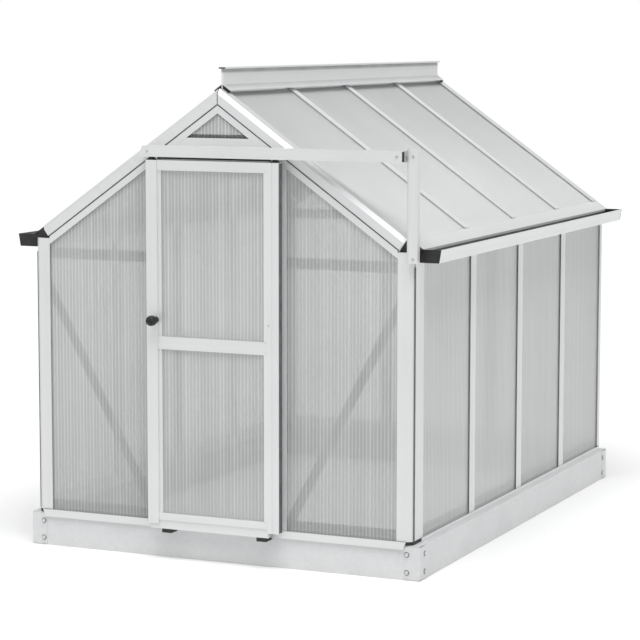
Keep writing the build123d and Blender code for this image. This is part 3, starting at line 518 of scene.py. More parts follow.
@dataclass(frozen=True)
class PlasticFinish(Finish):
    """Moulded plastic with a fine grain."""

    name: str = "moulded_plastic"
    dark: tuple[float, float, float] = (0.008, 0.008, 0.009)
    light: tuple[float, float, float] = (0.022, 0.022, 0.024)
    roughness: tuple[float, float] = (0.42, 0.60)

    def material(self) -> bpy.types.Material:
        """Makes the finish and returns its material."""
        material, tree, shader, place = self.open(self.name)
        grain = self.effect(tree, EFFECTS.grain(), place, Scale=700.0)
        tone = self.effect(tree, EFFECTS.clouding(), place, Scale=22.0)
        tree.join(tree.mix(tone.outputs["Tone"], self.dark, self.light), shader.inputs["Base Color"])
        tree.join(tree.span(grain.outputs["Height"], *self.roughness), shader.inputs["Roughness"])
        self.bump(tree, shader, grain.outputs["Height"], 0.3, 0.0003)
        return material


@dataclass(frozen=True)
class ZincFinish(Finish):
    """Zinc-plated steel of screws, bolts, axles and the stay."""

    name: str = "zinc_plate"
    dark: tuple[float, float, float] = (0.46, 0.47, 0.48)
    light: tuple[float, float, float] = (0.68, 0.69, 0.70)
    metallic: float = 0.85

    def material(self) -> bpy.types.Material:
        """Makes the finish and returns its material."""
        material, tree, shader, place = self.open(self.name)
        tone = self.effect(tree, EFFECTS.clouding(), place, Scale=90.0)
        grain = self.effect(tree, EFFECTS.grain(), place, Scale=1400.0)
        tree.join(tree.mix(tone.outputs["Tone"], self.dark, self.light), shader.inputs["Base Color"])
        tree.join(tree.span(tone.outputs["Tone"], 0.28, 0.44), shader.inputs["Roughness"])
        shader.inputs["Metallic"].default_value = self.metallic
        self.bump(tree, shader, grain.outputs["Height"], 0.1, 0.0001)
        return material


class Palette:
    """All finishes of the house, each made once."""

    def __init__(self) -> None:
        """Makes the materials."""
        metal = AluminiumFinish()
        self.aluminium = {run: metal.material(run) for run in Run if run is not Run.ALONG}
        # Painted light: pale is a lighter copy of the same aluminium, for the bars that should show lighter.
        pale = AluminiumFinish("pale_aluminium_painted_light", (0.78, 0.79, 0.795), (0.89, 0.90, 0.90))
        self.pale = {run: pale.material(run) for run in (Run.ALONG, Run.SLOPE_LEFT, Run.SLOPE_RIGHT)}
        # A darker copy for braces and cross rails inside the house: partly a mill finish, partly painted shade of the
        # inside.
        mill = AluminiumFinish("mill_aluminium_and_painted_shade", (0.30, 0.31, 0.32), (0.42, 0.43, 0.44), 0.5)
        self.mill = {run: mill.material(run) for run in (Run.ACROSS, Run.UP)}
        # The gutter's finish paints shade inside the trough, laid out from the gutter's box.
        low, high = (Vector(c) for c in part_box("gutter_right"))
        flare = 9.0 * MM
        skin = 1.5 * MM
        trough = GutterFinish(back=low.x + skin, sole=low.z + skin, foot=high.x - flare - skin,
                              flare=flare / (high.z - low.z))
        self.gutter = trough.material(Run.ALONG)
        # The ridge finish paints shade under the crest's flange and in the skirt's fold.
        foot, crest = (c[2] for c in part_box("ridge_cap"))
        self.ridge = RidgeFinish(flange=crest - 7.0 * MM, fold=foot + 25.0 * MM).material(Run.ALONG)
        self.steel = SteelFinish().material()
        # Ends, sides and roof take copies of one sheet finish: the sides and roof are set lighter as painted light,
        # and the roof's fade darkens it towards the ridge as painted shade.
        sheet = SheetFinish()
        roof = SheetFinish((0.62, 0.63, 0.63), (0.91, 0.92, 0.92), (0.58, 0.65), 0.11, 0.08, 0.15, 0.0,
                           fade=(1.00, 0.22), fade_rise=(1.38, 1.97))
        side = SheetFinish((0.75, 0.765, 0.765), (0.87, 0.88, 0.88), (0.44, 0.52), 0.35, 0.25, 0.4, 0.0,
                           fade=(0.10, 0.10))
        self.sheet_ends = sheet.material("twin_wall_ends", "X")
        self.sheet_sides = side.material("twin_wall_sides", "Y")
        self.sheet_roof = roof.material("twin_wall_roof", "Y")
        self.plastic = PlasticFinish().material()
        self.rubber = PlasticFinish("grey_seal", (0.10, 0.10, 0.105), (0.16, 0.16, 0.165), (0.6, 0.75)).material()
        self.brush = PlasticFinish("brush_bristle", (0.02, 0.02, 0.021), (0.07, 0.07, 0.072), (0.7, 0.9)).material()
        self.nylon = PlasticFinish("pale_nylon", (0.55, 0.55, 0.53), (0.68, 0.68, 0.66), (0.35, 0.5)).material()
        self.ring = PlasticFinish("bolt_ring", (0.10, 0.10, 0.105), (0.17, 0.17, 0.175), (0.6, 0.75)).material()
        self.strip = PlasticFinish("glazing_strip", (0.46, 0.46, 0.465), (0.54, 0.54, 0.545), (0.5, 0.65)).material()
        self.zinc = ZincFinish().material()
        self.bright = ZincFinish("bright_zinc", (0.60, 0.61, 0.615), (0.80, 0.805, 0.81), 0.55).material()


class Shape:
    """Mesh steps that several sub-assemblies use."""

    @staticmethod
    def block(bm: bmesh.types.BMesh, low: Vector, high: Vector) -> list[bmesh.types.BMVert]:
        """Adds a box between two corners and returns its points."""
        made = bmesh.ops.create_cube(bm, size=1.0)["verts"]
        bmesh.ops.scale(bm, vec=high - low, verts=made)
        bmesh.ops.translate(bm, vec=(low + high) / 2, verts=made)
        return made

    @staticmethod
    def round_edges(bm: bmesh.types.BMesh, verts: Iterable[bmesh.types.BMVert], width: float, segments: int = 2,
                    angle: float = 30.0) -> None:
        """Bevels the sharp edges among some points.

        Args:
            bm: Mesh that holds them.
            verts: Points whose edges are looked at.
            width: Width of the bevel.
            segments: Steps of the bevel.
            angle: Least angle of an edge that is bevelled, in degrees.
        """
        kept = set(verts)
        sharp = []
        for edge in bm.edges:
            if edge.verts[0] in kept and edge.verts[1] in kept and len(edge.link_faces) == 2:
                if edge.calc_face_angle(0.0) > math.radians(angle):
                    sharp.append(edge)
        bmesh.ops.bevel(bm, geom=sharp, offset=width, offset_type="OFFSET", segments=segments, profile=0.5,
                        affect="EDGES", material=-1)

    @staticmethod
    def turned(bm: bmesh.types.BMesh, profile: Sequence[tuple[float, float]], steps: int = 32) -> list[bmesh.types.BMVert]:
        """Spins a profile of (radius, height) round the Z axis.

        Args:
            bm: Mesh that takes the shape.
            profile: Points from one end of the axis to the other, or a closed ring if it starts off the axis.
            steps: Steps of the spin.

        Returns:
            The points of the shape.
        """
        points = [bm.verts.new((r, 0.0, z)) for r, z in profile]
        edges = [bm.edges.new(pair) for pair in zip(points, points[1:])]
        if profile[0][0] > 0.0:
            edges.append(bm.edges.new((points[-1], points[0])))
        before = set(bm.verts) - set(points)
        bmesh.ops.spin(bm, geom=points + edges, axis=(0, 0, 1), cent=(0, 0, 0), dvec=(0, 0, 0), angle=2 * math.pi,
                       steps=steps, use_merge=True)
        made = [v for v in bm.verts if v not in before]
        bmesh.ops.remove_doubles(bm, verts=made, dist=1e-6)
        made = [v for v in bm.verts if v not in before]
        faces = {f for v in made for f in v.link_faces}
        bmesh.ops.recalc_face_normals(bm, faces=list(faces))
        return made

    @staticmethod
    def aim(point: Vector, axis: Vector) -> Matrix:
        """Matrix that takes the Z axis at the origin to an axis at a point."""
        return Matrix.Translation(point) @ axis.to_track_quat("Z", "Y").to_matrix().to_4x4()

    @staticmethod
    def hex_bolt(bm: bmesh.types.BMesh, point: Vector, axis: Vector, size: float, washer: float) -> None:
        """Adds a hexagon bolt head on a washer.

        Args:
            bm: Mesh that takes the bolt.
            point: Middle of the washer's seat.
            axis: Direction out of the seat.
            size: Radius of the hexagon.
            washer: Radius of the washer.
        """
        thick = 0.18 * size
        ring = Shape.turned(bm, [(0.0, 0.0), (washer, 0.0), (washer, 0.7 * thick), (washer - 0.3 * thick, thick),
                                 (0.0, thick)], 28)
        head = bmesh.ops.create_cone(bm, cap_ends=True, segments=6, radius1=size, radius2=size, depth=0.62 * size)["verts"]
        bmesh.ops.translate(bm, vec=(0, 0, thick + 0.31 * size), verts=head)
        top = [v for v in head if v.co.z > thick + 0.4 * size]
        Shape.round_edges(bm, top, 0.10 * size, 2)
        live = [v for v in bm.verts if v.is_valid and abs(v.co.z) < 2 * size and v.co.xy.length < 1.2 * washer]
        fresh = [v for v in live if v in set(ring) or v.co.z >= thick - 1e-7]
        bmesh.ops.transform(bm, matrix=Shape.aim(point, axis), verts=fresh)

    @staticmethod
    def islands(bm: bmesh.types.BMesh) -> list[list[bmesh.types.BMVert]]:
        """Groups the points of a mesh by the closed shells that they belong to."""
        left = set(bm.verts)
        groups = []
        while left:
            stack = [left.pop()]
            group = []
            while stack:
                vert = stack.pop()
                group.append(vert)
                for edge in vert.link_edges:
                    other = edge.other_vert(vert)
                    if other in left:
                        left.remove(other)
                        stack.append(other)
            groups.append(group)
        return sorted(groups, key=lambda g: tuple(round(min(v.co[i] for v in g), 4) for i in range(3)))

    @staticmethod
    def node_copy(node: str) -> bmesh.types.BMesh:
        """Copies the mesh of a CAD node, with its doubled points merged."""
        bm = bmesh.new()
        bm.from_mesh(frame["nodes"][node].data)
        bmesh.ops.remove_doubles(bm, verts=bm.verts, dist=1e-5)
        return bm

    @staticmethod
    def node_middles(node: str) -> list[tuple[Vector, Vector]]:
        """Middle and size of each shell of a CAD node."""
        bm = Shape.node_copy(node)
        found = []
        for group in Shape.islands(bm):
            low = Vector([min(v.co[i] for v in group) for i in range(3)])
            high = Vector([max(v.co[i] for v in group) for i in range(3)])
            found.append(((low + high) / 2, high - low))
        bm.free()
        return found


@dataclass
class Assembly:
    """Base of the sub-assemblies: turns meshes into pieces that ride on a body."""

    palette: Palette

    def piece(self, name: str, bm: bmesh.types.BMesh, material: bpy.types.Material, body: Body, slot: Slot,
              stands_for: Sequence[str] = (), smooth: float = 35.0) -> bpy.types.Object:
        """Makes an object of a mesh and places it in the frame.

        Args:
            name: Name of the piece.
            bm: Its mesh, freed here.
            material: Its finish.
            body: Body that carries it.
            slot: Material slot of the record; not used.
            stands_for: CAD nodes that it replaces.
            smooth: Edges sharper than this many degrees stay sharp.

        Returns:
            The new object.
        """
        mesh = bpy.data.meshes.new(name)
        bm.normal_update()
        for face in bm.faces:
            face.smooth = True
        for edge in bm.edges:
            edge.smooth = len(edge.link_faces) == 2 and edge.calc_face_angle(0.0) < math.radians(smooth)
        bm.to_mesh(mesh)
        bm.free()
        mesh.materials.append(material)
        thing = bpy.data.objects.new(name, mesh)
        bpy.context.scene.collection.objects.link(thing)
        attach(thing, body.value)
        if stands_for:
            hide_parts(*stands_for)
        LOG.info("piece %s: %d faces on %s", name, len(mesh.polygons), body.value)
        return thing

    def dress(self, node: str, material: bpy.types.Material, edge: float = 0.8) -> None:
        """Gives a CAD node its finish and softens its sharp edges.

        Args:
            node: Name of the node.
            material: Its finish.
            edge: Width of the softened edge in millimetres; 0 leaves the edges as they are.
        """
        thing = frame["nodes"][node]
        for slot in thing.material_slots:
            slot.material = material
        if edge > 0.0:
            weld = thing.modifiers.new("join", "WELD")
            weld.merge_threshold = 1e-5
            flat = thing.modifiers.new("flat", "DECIMATE")
            flat.decimate_type = "DISSOLVE"
            flat.angle_limit = math.radians(1.0)
            soft = thing.modifiers.new("soft", "BEVEL")
            soft.width = edge * MM
            soft.segments = 2
            soft.limit_method = "ANGLE"
            soft.angle_limit = math.radians(35.0)
            soft.use_clamp_overlap = True
            soft.harden_normals = True
        LOG.info("node %s dressed with %s", node, material.name)


@dataclass
class Sheets(Assembly):
    """Twin-wall sheets of walls, roof, door and vent: closed slabs with a rib at every cell wall."""

    pitch: float = 16.0 * MM
    rib: float = 0.9 * MM
    ease: float = 0.05 * MM
    border: float = 48.0 * MM
    least_face: float = 0.01
    strip_width: float = 16.5 * MM
    strip_height: float = 6.9 * MM
    strip_short: float = 4.0 * MM
    foot_inset: float = 21.0 * MM
    foot_height: float = 30.0 * MM
    foot_gauge: float = 0.6 * MM

    def slab(self, bm: bmesh.types.BMesh, group: list[bmesh.types.BMVert], across: Vector, along: Vector) -> None:
        """Adds one sheet in the place of a CAD plate.

        Args:
            bm: Mesh that takes the sheet.
            group: Points of the plate.
            across: Direction across the ribs.
            along: Direction of the ribs.
        """
        normal = across.cross(along)
        axes = (across, along, normal)
        spans = [(min(v.co.dot(a) for v in group), max(v.co.dot(a) for v in group)) for a in axes]
        (u0, u1), (v0, v1), (w0, w1) = spans
        before = set(bm.verts)
        Shape.block(bm, Vector((u0, v0, w0)), Vector((u1, v1, w1)))
        half = self.rib / 2
        first = math.ceil((u0 + 2 * half) / self.pitch)
        last = math.floor((u1 - 2 * half) / self.pitch)
        for count in range(first, last + 1):
            u = count * self.pitch
            Shape.block(bm, Vector((u - half, v0 + self.ease, w0 + self.ease)),
                        Vector((u + half, v1 - self.ease, w1 - self.ease)))
        made = [v for v in bm.verts if v not in before]
        place = Matrix((across, along, normal)).transposed().to_4x4()
        bmesh.ops.transform(bm, matrix=place, verts=made)
        for co, outward in self.slants(group, axes):
            faces = {f for v in bm.verts if v not in before for f in v.link_faces}
            edges = {e for f in faces for e in f.edges}
            points = {v for f in faces for v in f.verts}
            bmesh.ops.bisect_plane(bm, geom=[*points, *edges, *faces], dist=1e-7, plane_co=co, plane_no=outward,
                                   clear_outer=True)
            rim = [e for v in bm.verts if v not in before for e in v.link_edges if len(e.link_faces) == 1]
            bmesh.ops.holes_fill(bm, edges=list(set(rim)), sides=8)
        self.mark_edges(bm, before, normal)

    def mark_edges(self, bm: bmesh.types.BMesh, before: set, normal: Vector) -> None:
        """Insets the two faces of a new sheet and marks their rims for the shade along the bars.

        Args:
            bm: Mesh that holds the sheet.
            before: Points that belong to earlier sheets.
            normal: Direction through the sheet.
        """
        layer = bm.verts.layers.float.get("edge_shade")
        bm.normal_update()
        faces = {f for v in bm.verts if v not in before for f in v.link_faces}
        wide = [f for f in faces if abs(f.normal.dot(normal)) > 0.99 and f.calc_area() > self.least_face]
        for face in wide:
            for vert in face.verts:
                vert[layer] = 1.0
        kept = set(bm.verts)
        for face in wide:
            middle = 2.0 * face.calc_area() / face.calc_perimeter()
            bmesh.ops.inset_individual(bm, faces=[face], thickness=min(self.border, 0.4 * middle), depth=0.0,
                                       use_even_offset=True)
        for vert in bm.verts:
            if vert not in kept:
                vert[layer] = 0.0

    def slants(self, group: list[bmesh.types.BMVert], axes: Sequence[Vector]) -> list[tuple[Vector, Vector]]:
        """Finds the plate's slanting sides.

        Args:
            group: Points of the plate.
            axes: Directions across, along and through the sheet.

        Returns:
            A point and the outward direction of each slanting side.
        """
        across, along, normal = axes
        found: dict[tuple, tuple[Vector, Vector]] = {}
        for face in {f for v in group for f in v.link_faces}:
            out = face.normal
            if abs(out.dot(normal)) < 0.5 and abs(out.dot(across)) < 0.999 and abs(out.dot(along)) < 0.999:
                key = tuple(round(c, 2) for c in out)
                found[key] = (face.calc_center_median(), out.copy())
        return list(found.values())

    def fit(self, name: str, node: str, across: Vector, along: Vector, material: bpy.types.Material, body: Body) -> None:
        """Replaces a CAD node of plates with twin-wall sheets.

        Args:
            name: Name of the piece.
            node: CAD node that it stands for.
            across: Direction across the ribs.
            along: Direction of the ribs.
            material: Finish of the sheets.
            body: Body that carries them.
        """
        source = Shape.node_copy(node)
        source.normal_update()
        bm = bmesh.new()
        bm.verts.layers.float.new("edge_shade")
        for group in Shape.islands(source):
            self.slab(bm, group, across, along)
        source.free()
        bmesh.ops.recalc_face_normals(bm, faces=bm.faces)
        self.piece(name, bm, material, body, Slot.SHEET, [node])

    def build(self) -> None:
        """Fits every sheet."""
        ends = self.palette.sheet_ends
        sides = self.palette.sheet_sides
        roof = self.palette.sheet_roof
        self.fit("sheets_front", "wall_panels_front", AXIS_X, AXIS_Z, ends, Body.HOUSE)
        self.fit("sheets_rear", "wall_panels_rear", AXIS_X, AXIS_Z, ends, Body.HOUSE)
        self.fit("sheets_left", "wall_panels_left", AXIS_Y, AXIS_Z, sides, Body.HOUSE)
        self.fit("sheets_right", "wall_panels_right", AXIS_Y, AXIS_Z, sides, Body.HOUSE)
        self.fit("sheets_roof_left", "roof_panels_left", AXIS_Y, SLOPE_LEFT, roof, Body.HOUSE)
        self.fit("sheets_roof_right", "roof_panels_right", AXIS_Y, SLOPE_RIGHT, roof, Body.HOUSE)
        self.fit("sheets_door", "door_panels", AXIS_X, AXIS_Z, ends, Body.DOOR)
        self.fit("sheet_vent", "vent_panel", AXIS_Y, SLOPE_LEFT, roof, Body.VENT)
        self.glazing_strips()
        self.foot_strips("sheet_foot_seals", self.ease, self.palette.rubber, Slot.PLASTIC)
        self.foot_strips("sheet_foot_plates", 2 * self.ease + self.foot_gauge, self.palette.pale[Run.ALONG],
                         Slot.ALUMINIUM)

    def foot_strips(self, name: str, depth: float, material: bpy.types.Material, slot: Slot) -> None:
        """Adds strips over the foot of the wall sheets, inside the house: seals on the cells and plates on the seals.

        Args:
            name: Name of the piece.
            depth: Distance of the strips from the sheets' inner faces.
            material: Its finish.
            slot: Material slot of the record.
        """
        bm = bmesh.new()
        for side, sill, wide in (("front", "sill_front", 0), ("rear", "sill_rear", 0), ("left", "sills_side", 1),
                                 ("right", "sills_side", 1)):
            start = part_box(sill)[1][2]
            thin = 1 - wide
            for middle, size in Shape.node_middles(f"wall_panels_{side}"):
                if middle.z - size.z / 2 > start:
                    continue
                inward = -math.copysign(1.0, middle[thin])
                face = middle[thin] + inward * (size[thin] / 2 + depth)
                low, high = middle.copy(), middle.copy()
                low[wide] -= size[wide] / 2 - self.foot_inset
                high[wide] += size[wide] / 2 - self.foot_inset
                low[thin], high[thin] = sorted((face, face + inward * self.foot_gauge))
                low.z, high.z = start + self.ease, start + self.foot_height
                Shape.block(bm, low, high)
        self.piece(name, bm, material, Body.HOUSE, slot)

    def glazing_strips(self) -> None:
        """Adds the grey strips between the edges of the roof sheets and the flanges over them."""
        bm = bmesh.new()
        for node, along in (("roof_panels_left", SLOPE_LEFT), ("roof_panels_right", SLOPE_RIGHT)):
            source = Shape.node_copy(node)
            normal = AXIS_Y.cross(along)
            place = Matrix((AXIS_Y, along, normal)).transposed().to_4x4()
            for group in Shape.islands(source):
                spans = [(min(v.co.dot(a) for v in group), max(v.co.dot(a) for v in group))
                         for a in (AXIS_Y, along, normal)]
                (u0, u1), (v0, v1), (w0, w1) = spans
                w0, w1 = (w1, w1 + self.strip_height) if normal.z > 0.0 else (w0 - self.strip_height, w0)
                for start in (u0, u1 - self.strip_width):
                    made = Shape.block(bm, Vector((start, v0, w0)),
                                       Vector((start + self.strip_width, v1 - self.strip_short, w1)))
                    bmesh.ops.transform(bm, matrix=place, verts=made)
            source.free()
        bmesh.ops.recalc_face_normals(bm, faces=bm.faces)
        self.piece("roof_glazing_strips", bm, self.palette.strip, Body.HOUSE, Slot.PLASTIC)


@dataclass
class Frame(Assembly):
    """Bars, sills, posts, rafters, ridge and eaves of the house."""

    upright: tuple[str, ...] = (
        "corner_post_front_left", "corner_post_front_right", "corner_post_rear_left", "corner_post_rear_right",
        "door_jamb_left", "door_jamb_right", "rear_studs", "side_studs_left", "side_studs_right",
        "track_support_post", "door_stile_left", "door_stile_right")
    across: tuple[str, ...] = (
        "sill_front", "sill_rear", "header_front", "header_rear", "door_track", "track_splice", "door_rails")
    along: tuple[str, ...] = ("sills_side", "ridge_beam", "eave_beam_left", "eave_beam_right")
    sloped: tuple[str, ...] = ("roof_edge_rafters_front", "roof_edge_rafters_rear", "gable_bars_front",
                               "gable_bars_rear")
    strap_bolt: float = 5.5 * MM
    stud_bolt_margin: float = 42.0 * MM
    seal_depth: tuple[float, float] = (47.0 * MM, 61.5 * MM)
    seal_set_back: tuple[float, float] = (3.1 * MM, 5.5 * MM)
    groove: float = 8.0 * MM
    groove_depth: float = 8.0 * MM
    bead: tuple[float, float] = (0.6 * MM, 1.4 * MM)
    groove_from_end: float = 17.0 * MM
    joint: float = 3.2 * MM

    def build(self) -> None:
        """Dresses the bars and adds the bolts of rails and braces."""
        metal = self.palette.aluminium
        for node in self.upright:
            self.dress(node, metal[Run.UP])
        for node in self.across:
            self.dress(node, metal[Run.ACROSS])
        # Bars along the house take the pale copy of the aluminium: painted light.
        for node in self.along:
            self.dress(node, self.palette.pale[Run.ALONG])
        for node in self.sloped:
            self.dress(node, metal[Run.SLOPE_RIGHT])
        self.dress("vent_frame", metal[Run.SLOPE_LEFT])
        # The roof bars take the pale copy too: painted light.
        self.dress("roof_bars_left", self.palette.pale[Run.SLOPE_LEFT])
        self.dress("roof_bars_right", self.palette.pale[Run.SLOPE_RIGHT])
        # Braces and rails take the darker mill copy: mill finish and painted shade.
        self.dress("wall_braces", self.palette.mill[Run.UP])
        self.dress("cross_rails", self.palette.mill[Run.ACROSS])
        self.dress("ridge_cap", self.palette.ridge)
        for side in ("left", "right"):
            self.dress(f"gutter_{side}", self.palette.gutter)
        self.strap_bolts("wall_braces", "brace_bolts")
        self.strap_bolts("cross_rails", "rail_bolts")
        self.stud_bolts()
        self.gable_shade_seals()
        self.apex_joints()
        self.post_seals()

    def stud_bolts(self) -> None:
        """Adds the bolts that hold the studs to sills and eaves, on their inner faces."""
        bm = bmesh.new()
        for node in ("side_studs_left", "side_studs_right", "rear_studs", "door_jamb_left", "door_jamb_right"):
            for middle, size in Shape.node_middles(node):
                thin = 0 if size.x < size.y else 1
                inward = Vector((0.0, 0.0, 0.0))
                inward[thin] = -math.copysign(1.0, middle[thin])
                face = middle + inward * size[thin] / 2
                for height in (-size.z / 2 + self.stud_bolt_margin, size.z / 2 - self.stud_bolt_margin):
                    Shape.hex_bolt(bm, face + AXIS_Z * height, inward, self.strap_bolt, 1.6 * self.strap_bolt)
        self.piece("stud_bolts", bm, self.palette.zinc, Body.HOUSE, Slot.ZINC)

    def gable_shade_seals(self) -> None:
        """Adds seals in the gaps between rafters and gable bars, at both ends; they are dark as painted shade of the
        gaps.
        """
        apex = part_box("roof_edge_rafters_front")[1][2]
        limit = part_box("gable_bars_front")[1][0]
        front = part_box("gable_bars_front")[0][1]
        bm = bmesh.new()
        near, far = self.seal_set_back
        high, low = self.seal_depth
        run = limit / math.cos(ROOF_PITCH) + low
        Shape.block(bm, Vector((-low, front + near, -low)), Vector((run, front + far, -high)))
        turn = Matrix.Translation((0.0, 0.0, apex)) @ Matrix.Rotation(ROOF_PITCH, 4, "Y")
        bmesh.ops.transform(bm, matrix=turn, verts=bm.verts)
        for at, out in ((0.0, -1.0), (limit, 1.0)):
            geom = [*bm.verts, *bm.edges, *bm.faces]
            bmesh.ops.bisect_plane(bm, geom=geom, plane_co=(at, 0, 0), plane_no=(out, 0, 0), clear_outer=True)
            bmesh.ops.holes_fill(bm, edges=[e for e in bm.edges if len(e.link_faces) == 1], sides=8)
        bmesh.ops.mirror(bm, geom=[*bm.verts, *bm.edges, *bm.faces], axis="X", merge_dist=-1.0)
        bmesh.ops.mirror(bm, geom=[*bm.verts, *bm.edges, *bm.faces], axis="Y", merge_dist=-1.0)
        bmesh.ops.recalc_face_normals(bm, faces=bm.faces)
        self.piece("gable_gap_shade_seals", bm, self.palette.rubber, Body.HOUSE, Slot.PLASTIC)

    def apex_joints(self) -> None:
        """Adds the thin dark fillers in the mitres where the rafters meet, at both ends."""
        low, high = (Vector(c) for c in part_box("roof_edge_rafters_front"))
        chamfer = 17.0 * MM
        proud = 0.4 * MM
        step = 1.0 / math.cos(ROOF_PITCH)
        outline = [(low.y - proud, high.z - 51.5 * MM * step), (low.y - proud, high.z - chamfer * step),
                   (low.y + chamfer, high.z + proud), (low.y + 3 * chamfer, high.z + proud),
                   (low.y + 3 * chamfer, high.z - 2 * MM), (low.y + chamfer, high.z - 2 * MM),
                   (low.y + 2 * MM, high.z - chamfer * step), (low.y + 2 * MM, high.z - 51.5 * MM * step)]
        bm = bmesh.new()
        face = bm.faces.new([bm.verts.new((-self.joint / 2, y, z)) for y, z in outline])
        grown = bmesh.ops.extrude_face_region(bm, geom=[face])["geom"]
        bmesh.ops.translate(bm, vec=(self.joint, 0, 0), verts=[g for g in grown if isinstance(g, bmesh.types.BMVert)])
        bmesh.ops.mirror(bm, geom=[*bm.verts, *bm.edges, *bm.faces], axis="Y", merge_dist=-1.0)
        bmesh.ops.recalc_face_normals(bm, faces=bm.faces)
        self.piece("apex_joint_fillers", bm, self.palette.plastic, Body.HOUSE, Slot.PLASTIC)

    def post_seals(self) -> None:
        """Adds the dark seals in the grooves of the front corner posts."""
        bm = bmesh.new()
        for side, sign, bead in (("left", -1.0, self.bead[0]), ("right", 1.0, self.bead[1])):
            low, high = (Vector(c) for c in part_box(f"corner_post_front_{side}"))
            face = high.x if sign > 0.0 else low.x
            ends = sorted((face - sign * self.groove_depth, face - sign * 0.2 * MM))
            start = low.y + self.groove_from_end
            made = Shape.block(bm, Vector((ends[0], start + 0.2 * MM, low.z + MM)),
                               Vector((ends[1], start + self.groove - 0.2 * MM, high.z - MM)))
            Shape.round_edges(bm, made, 1.2 * MM)
            ends = sorted((face, face + sign * bead))
            centre = start + self.groove / 2
            made = Shape.block(bm, Vector((ends[0], centre - self.groove, low.z + MM)),
                               Vector((ends[1], centre + self.groove, high.z - 60 * MM)))
            Shape.round_edges(bm, made, 0.5 * bead)
        self.piece("post_groove_seals", bm, self.palette.rubber, Body.HOUSE, Slot.PLASTIC)

    def strap_bolts(self, node: str, name: str) -> None:
        """Adds a bolt near each end of every strap of a node, on its inner face.

        Args:
            node: CAD node of straps.
            name: Name of the piece.
        """
        source = Shape.node_copy(node)
        bm = bmesh.new()
        for group in Shape.islands(source):
            low = Vector([min(v.co[i] for v in group) for i in range(3)])
            high = Vector([max(v.co[i] for v in group) for i in range(3)])
            size = high - low
            thin = 0 if size.x < size.y else 1
            wide = 1 - thin
            inward = Vector((0.0, 0.0, 0.0))
            inward[thin] = -1.0 if (low + high)[thin] > 0.0 else 1.0
            ends = []
            for limit in (low[wide], high[wide]):
                near = [v.co for v in group if abs(v.co[wide] - limit) < 1e-4]
                ends.append(sum(near, Vector()) / len(near))
            line = (ends[1] - ends[0]).normalized()
            for point, step in ((ends[0], line), (ends[1], -line)):
                seat = point + step * 0.016
                seat[thin] = high[thin] if inward[thin] > 0.0 else low[thin]
                Shape.hex_bolt(bm, seat, inward, self.strap_bolt, 1.6 * self.strap_bolt)
        source.free()
        self.piece(name, bm, self.palette.zinc, Body.HOUSE, Slot.ZINC)


@dataclass
class Base(Assembly):
    """Steel base: rails, corner covers, bolts and corner keys."""

    hexagon: float = 7.6 * MM
    washer: float = 11.5 * MM
    ring: float = 1.4 * MM

    def build(self) -> None:
        """Dresses the base and makes its bolts."""
        for side in ("front", "rear", "left", "right"):
            self.dress(f"base_rail_{side}", self.palette.steel, 1.2)
        self.dress("base_corner_covers", self.palette.steel, 1.2)
        self.dress("sill_corner_keys", self.palette.plastic, 0.8)
        bm = bmesh.new()
        rings = bmesh.new()
        for middle, size in Shape.node_middles("base_bolts"):
            thin = min(range(3), key=lambda i: size[i])
            out = Vector((0.0, 0.0, 0.0))
            out[thin] = math.copysign(1.0, middle[thin])
            seat = middle - out * size[thin] / 2
            ring = Shape.turned(rings, [(0.0, 0.0), (self.washer, 0.0), (self.washer, 0.6 * self.ring),
                                        (0.94 * self.washer, self.ring), (0.0, self.ring)], 32)
            bmesh.ops.transform(rings, matrix=Shape.aim(seat, out), verts=ring)
            Shape.hex_bolt(bm, seat + out * self.ring, out, self.hexagon, 1.1 * self.hexagon)
        self.piece("base_corner_bolts", bm, self.palette.bright, Body.HOUSE, Slot.ZINC, ["base_bolts"])
        self.piece("base_bolt_rings", rings, self.palette.ring, Body.HOUSE, Slot.PLASTIC)


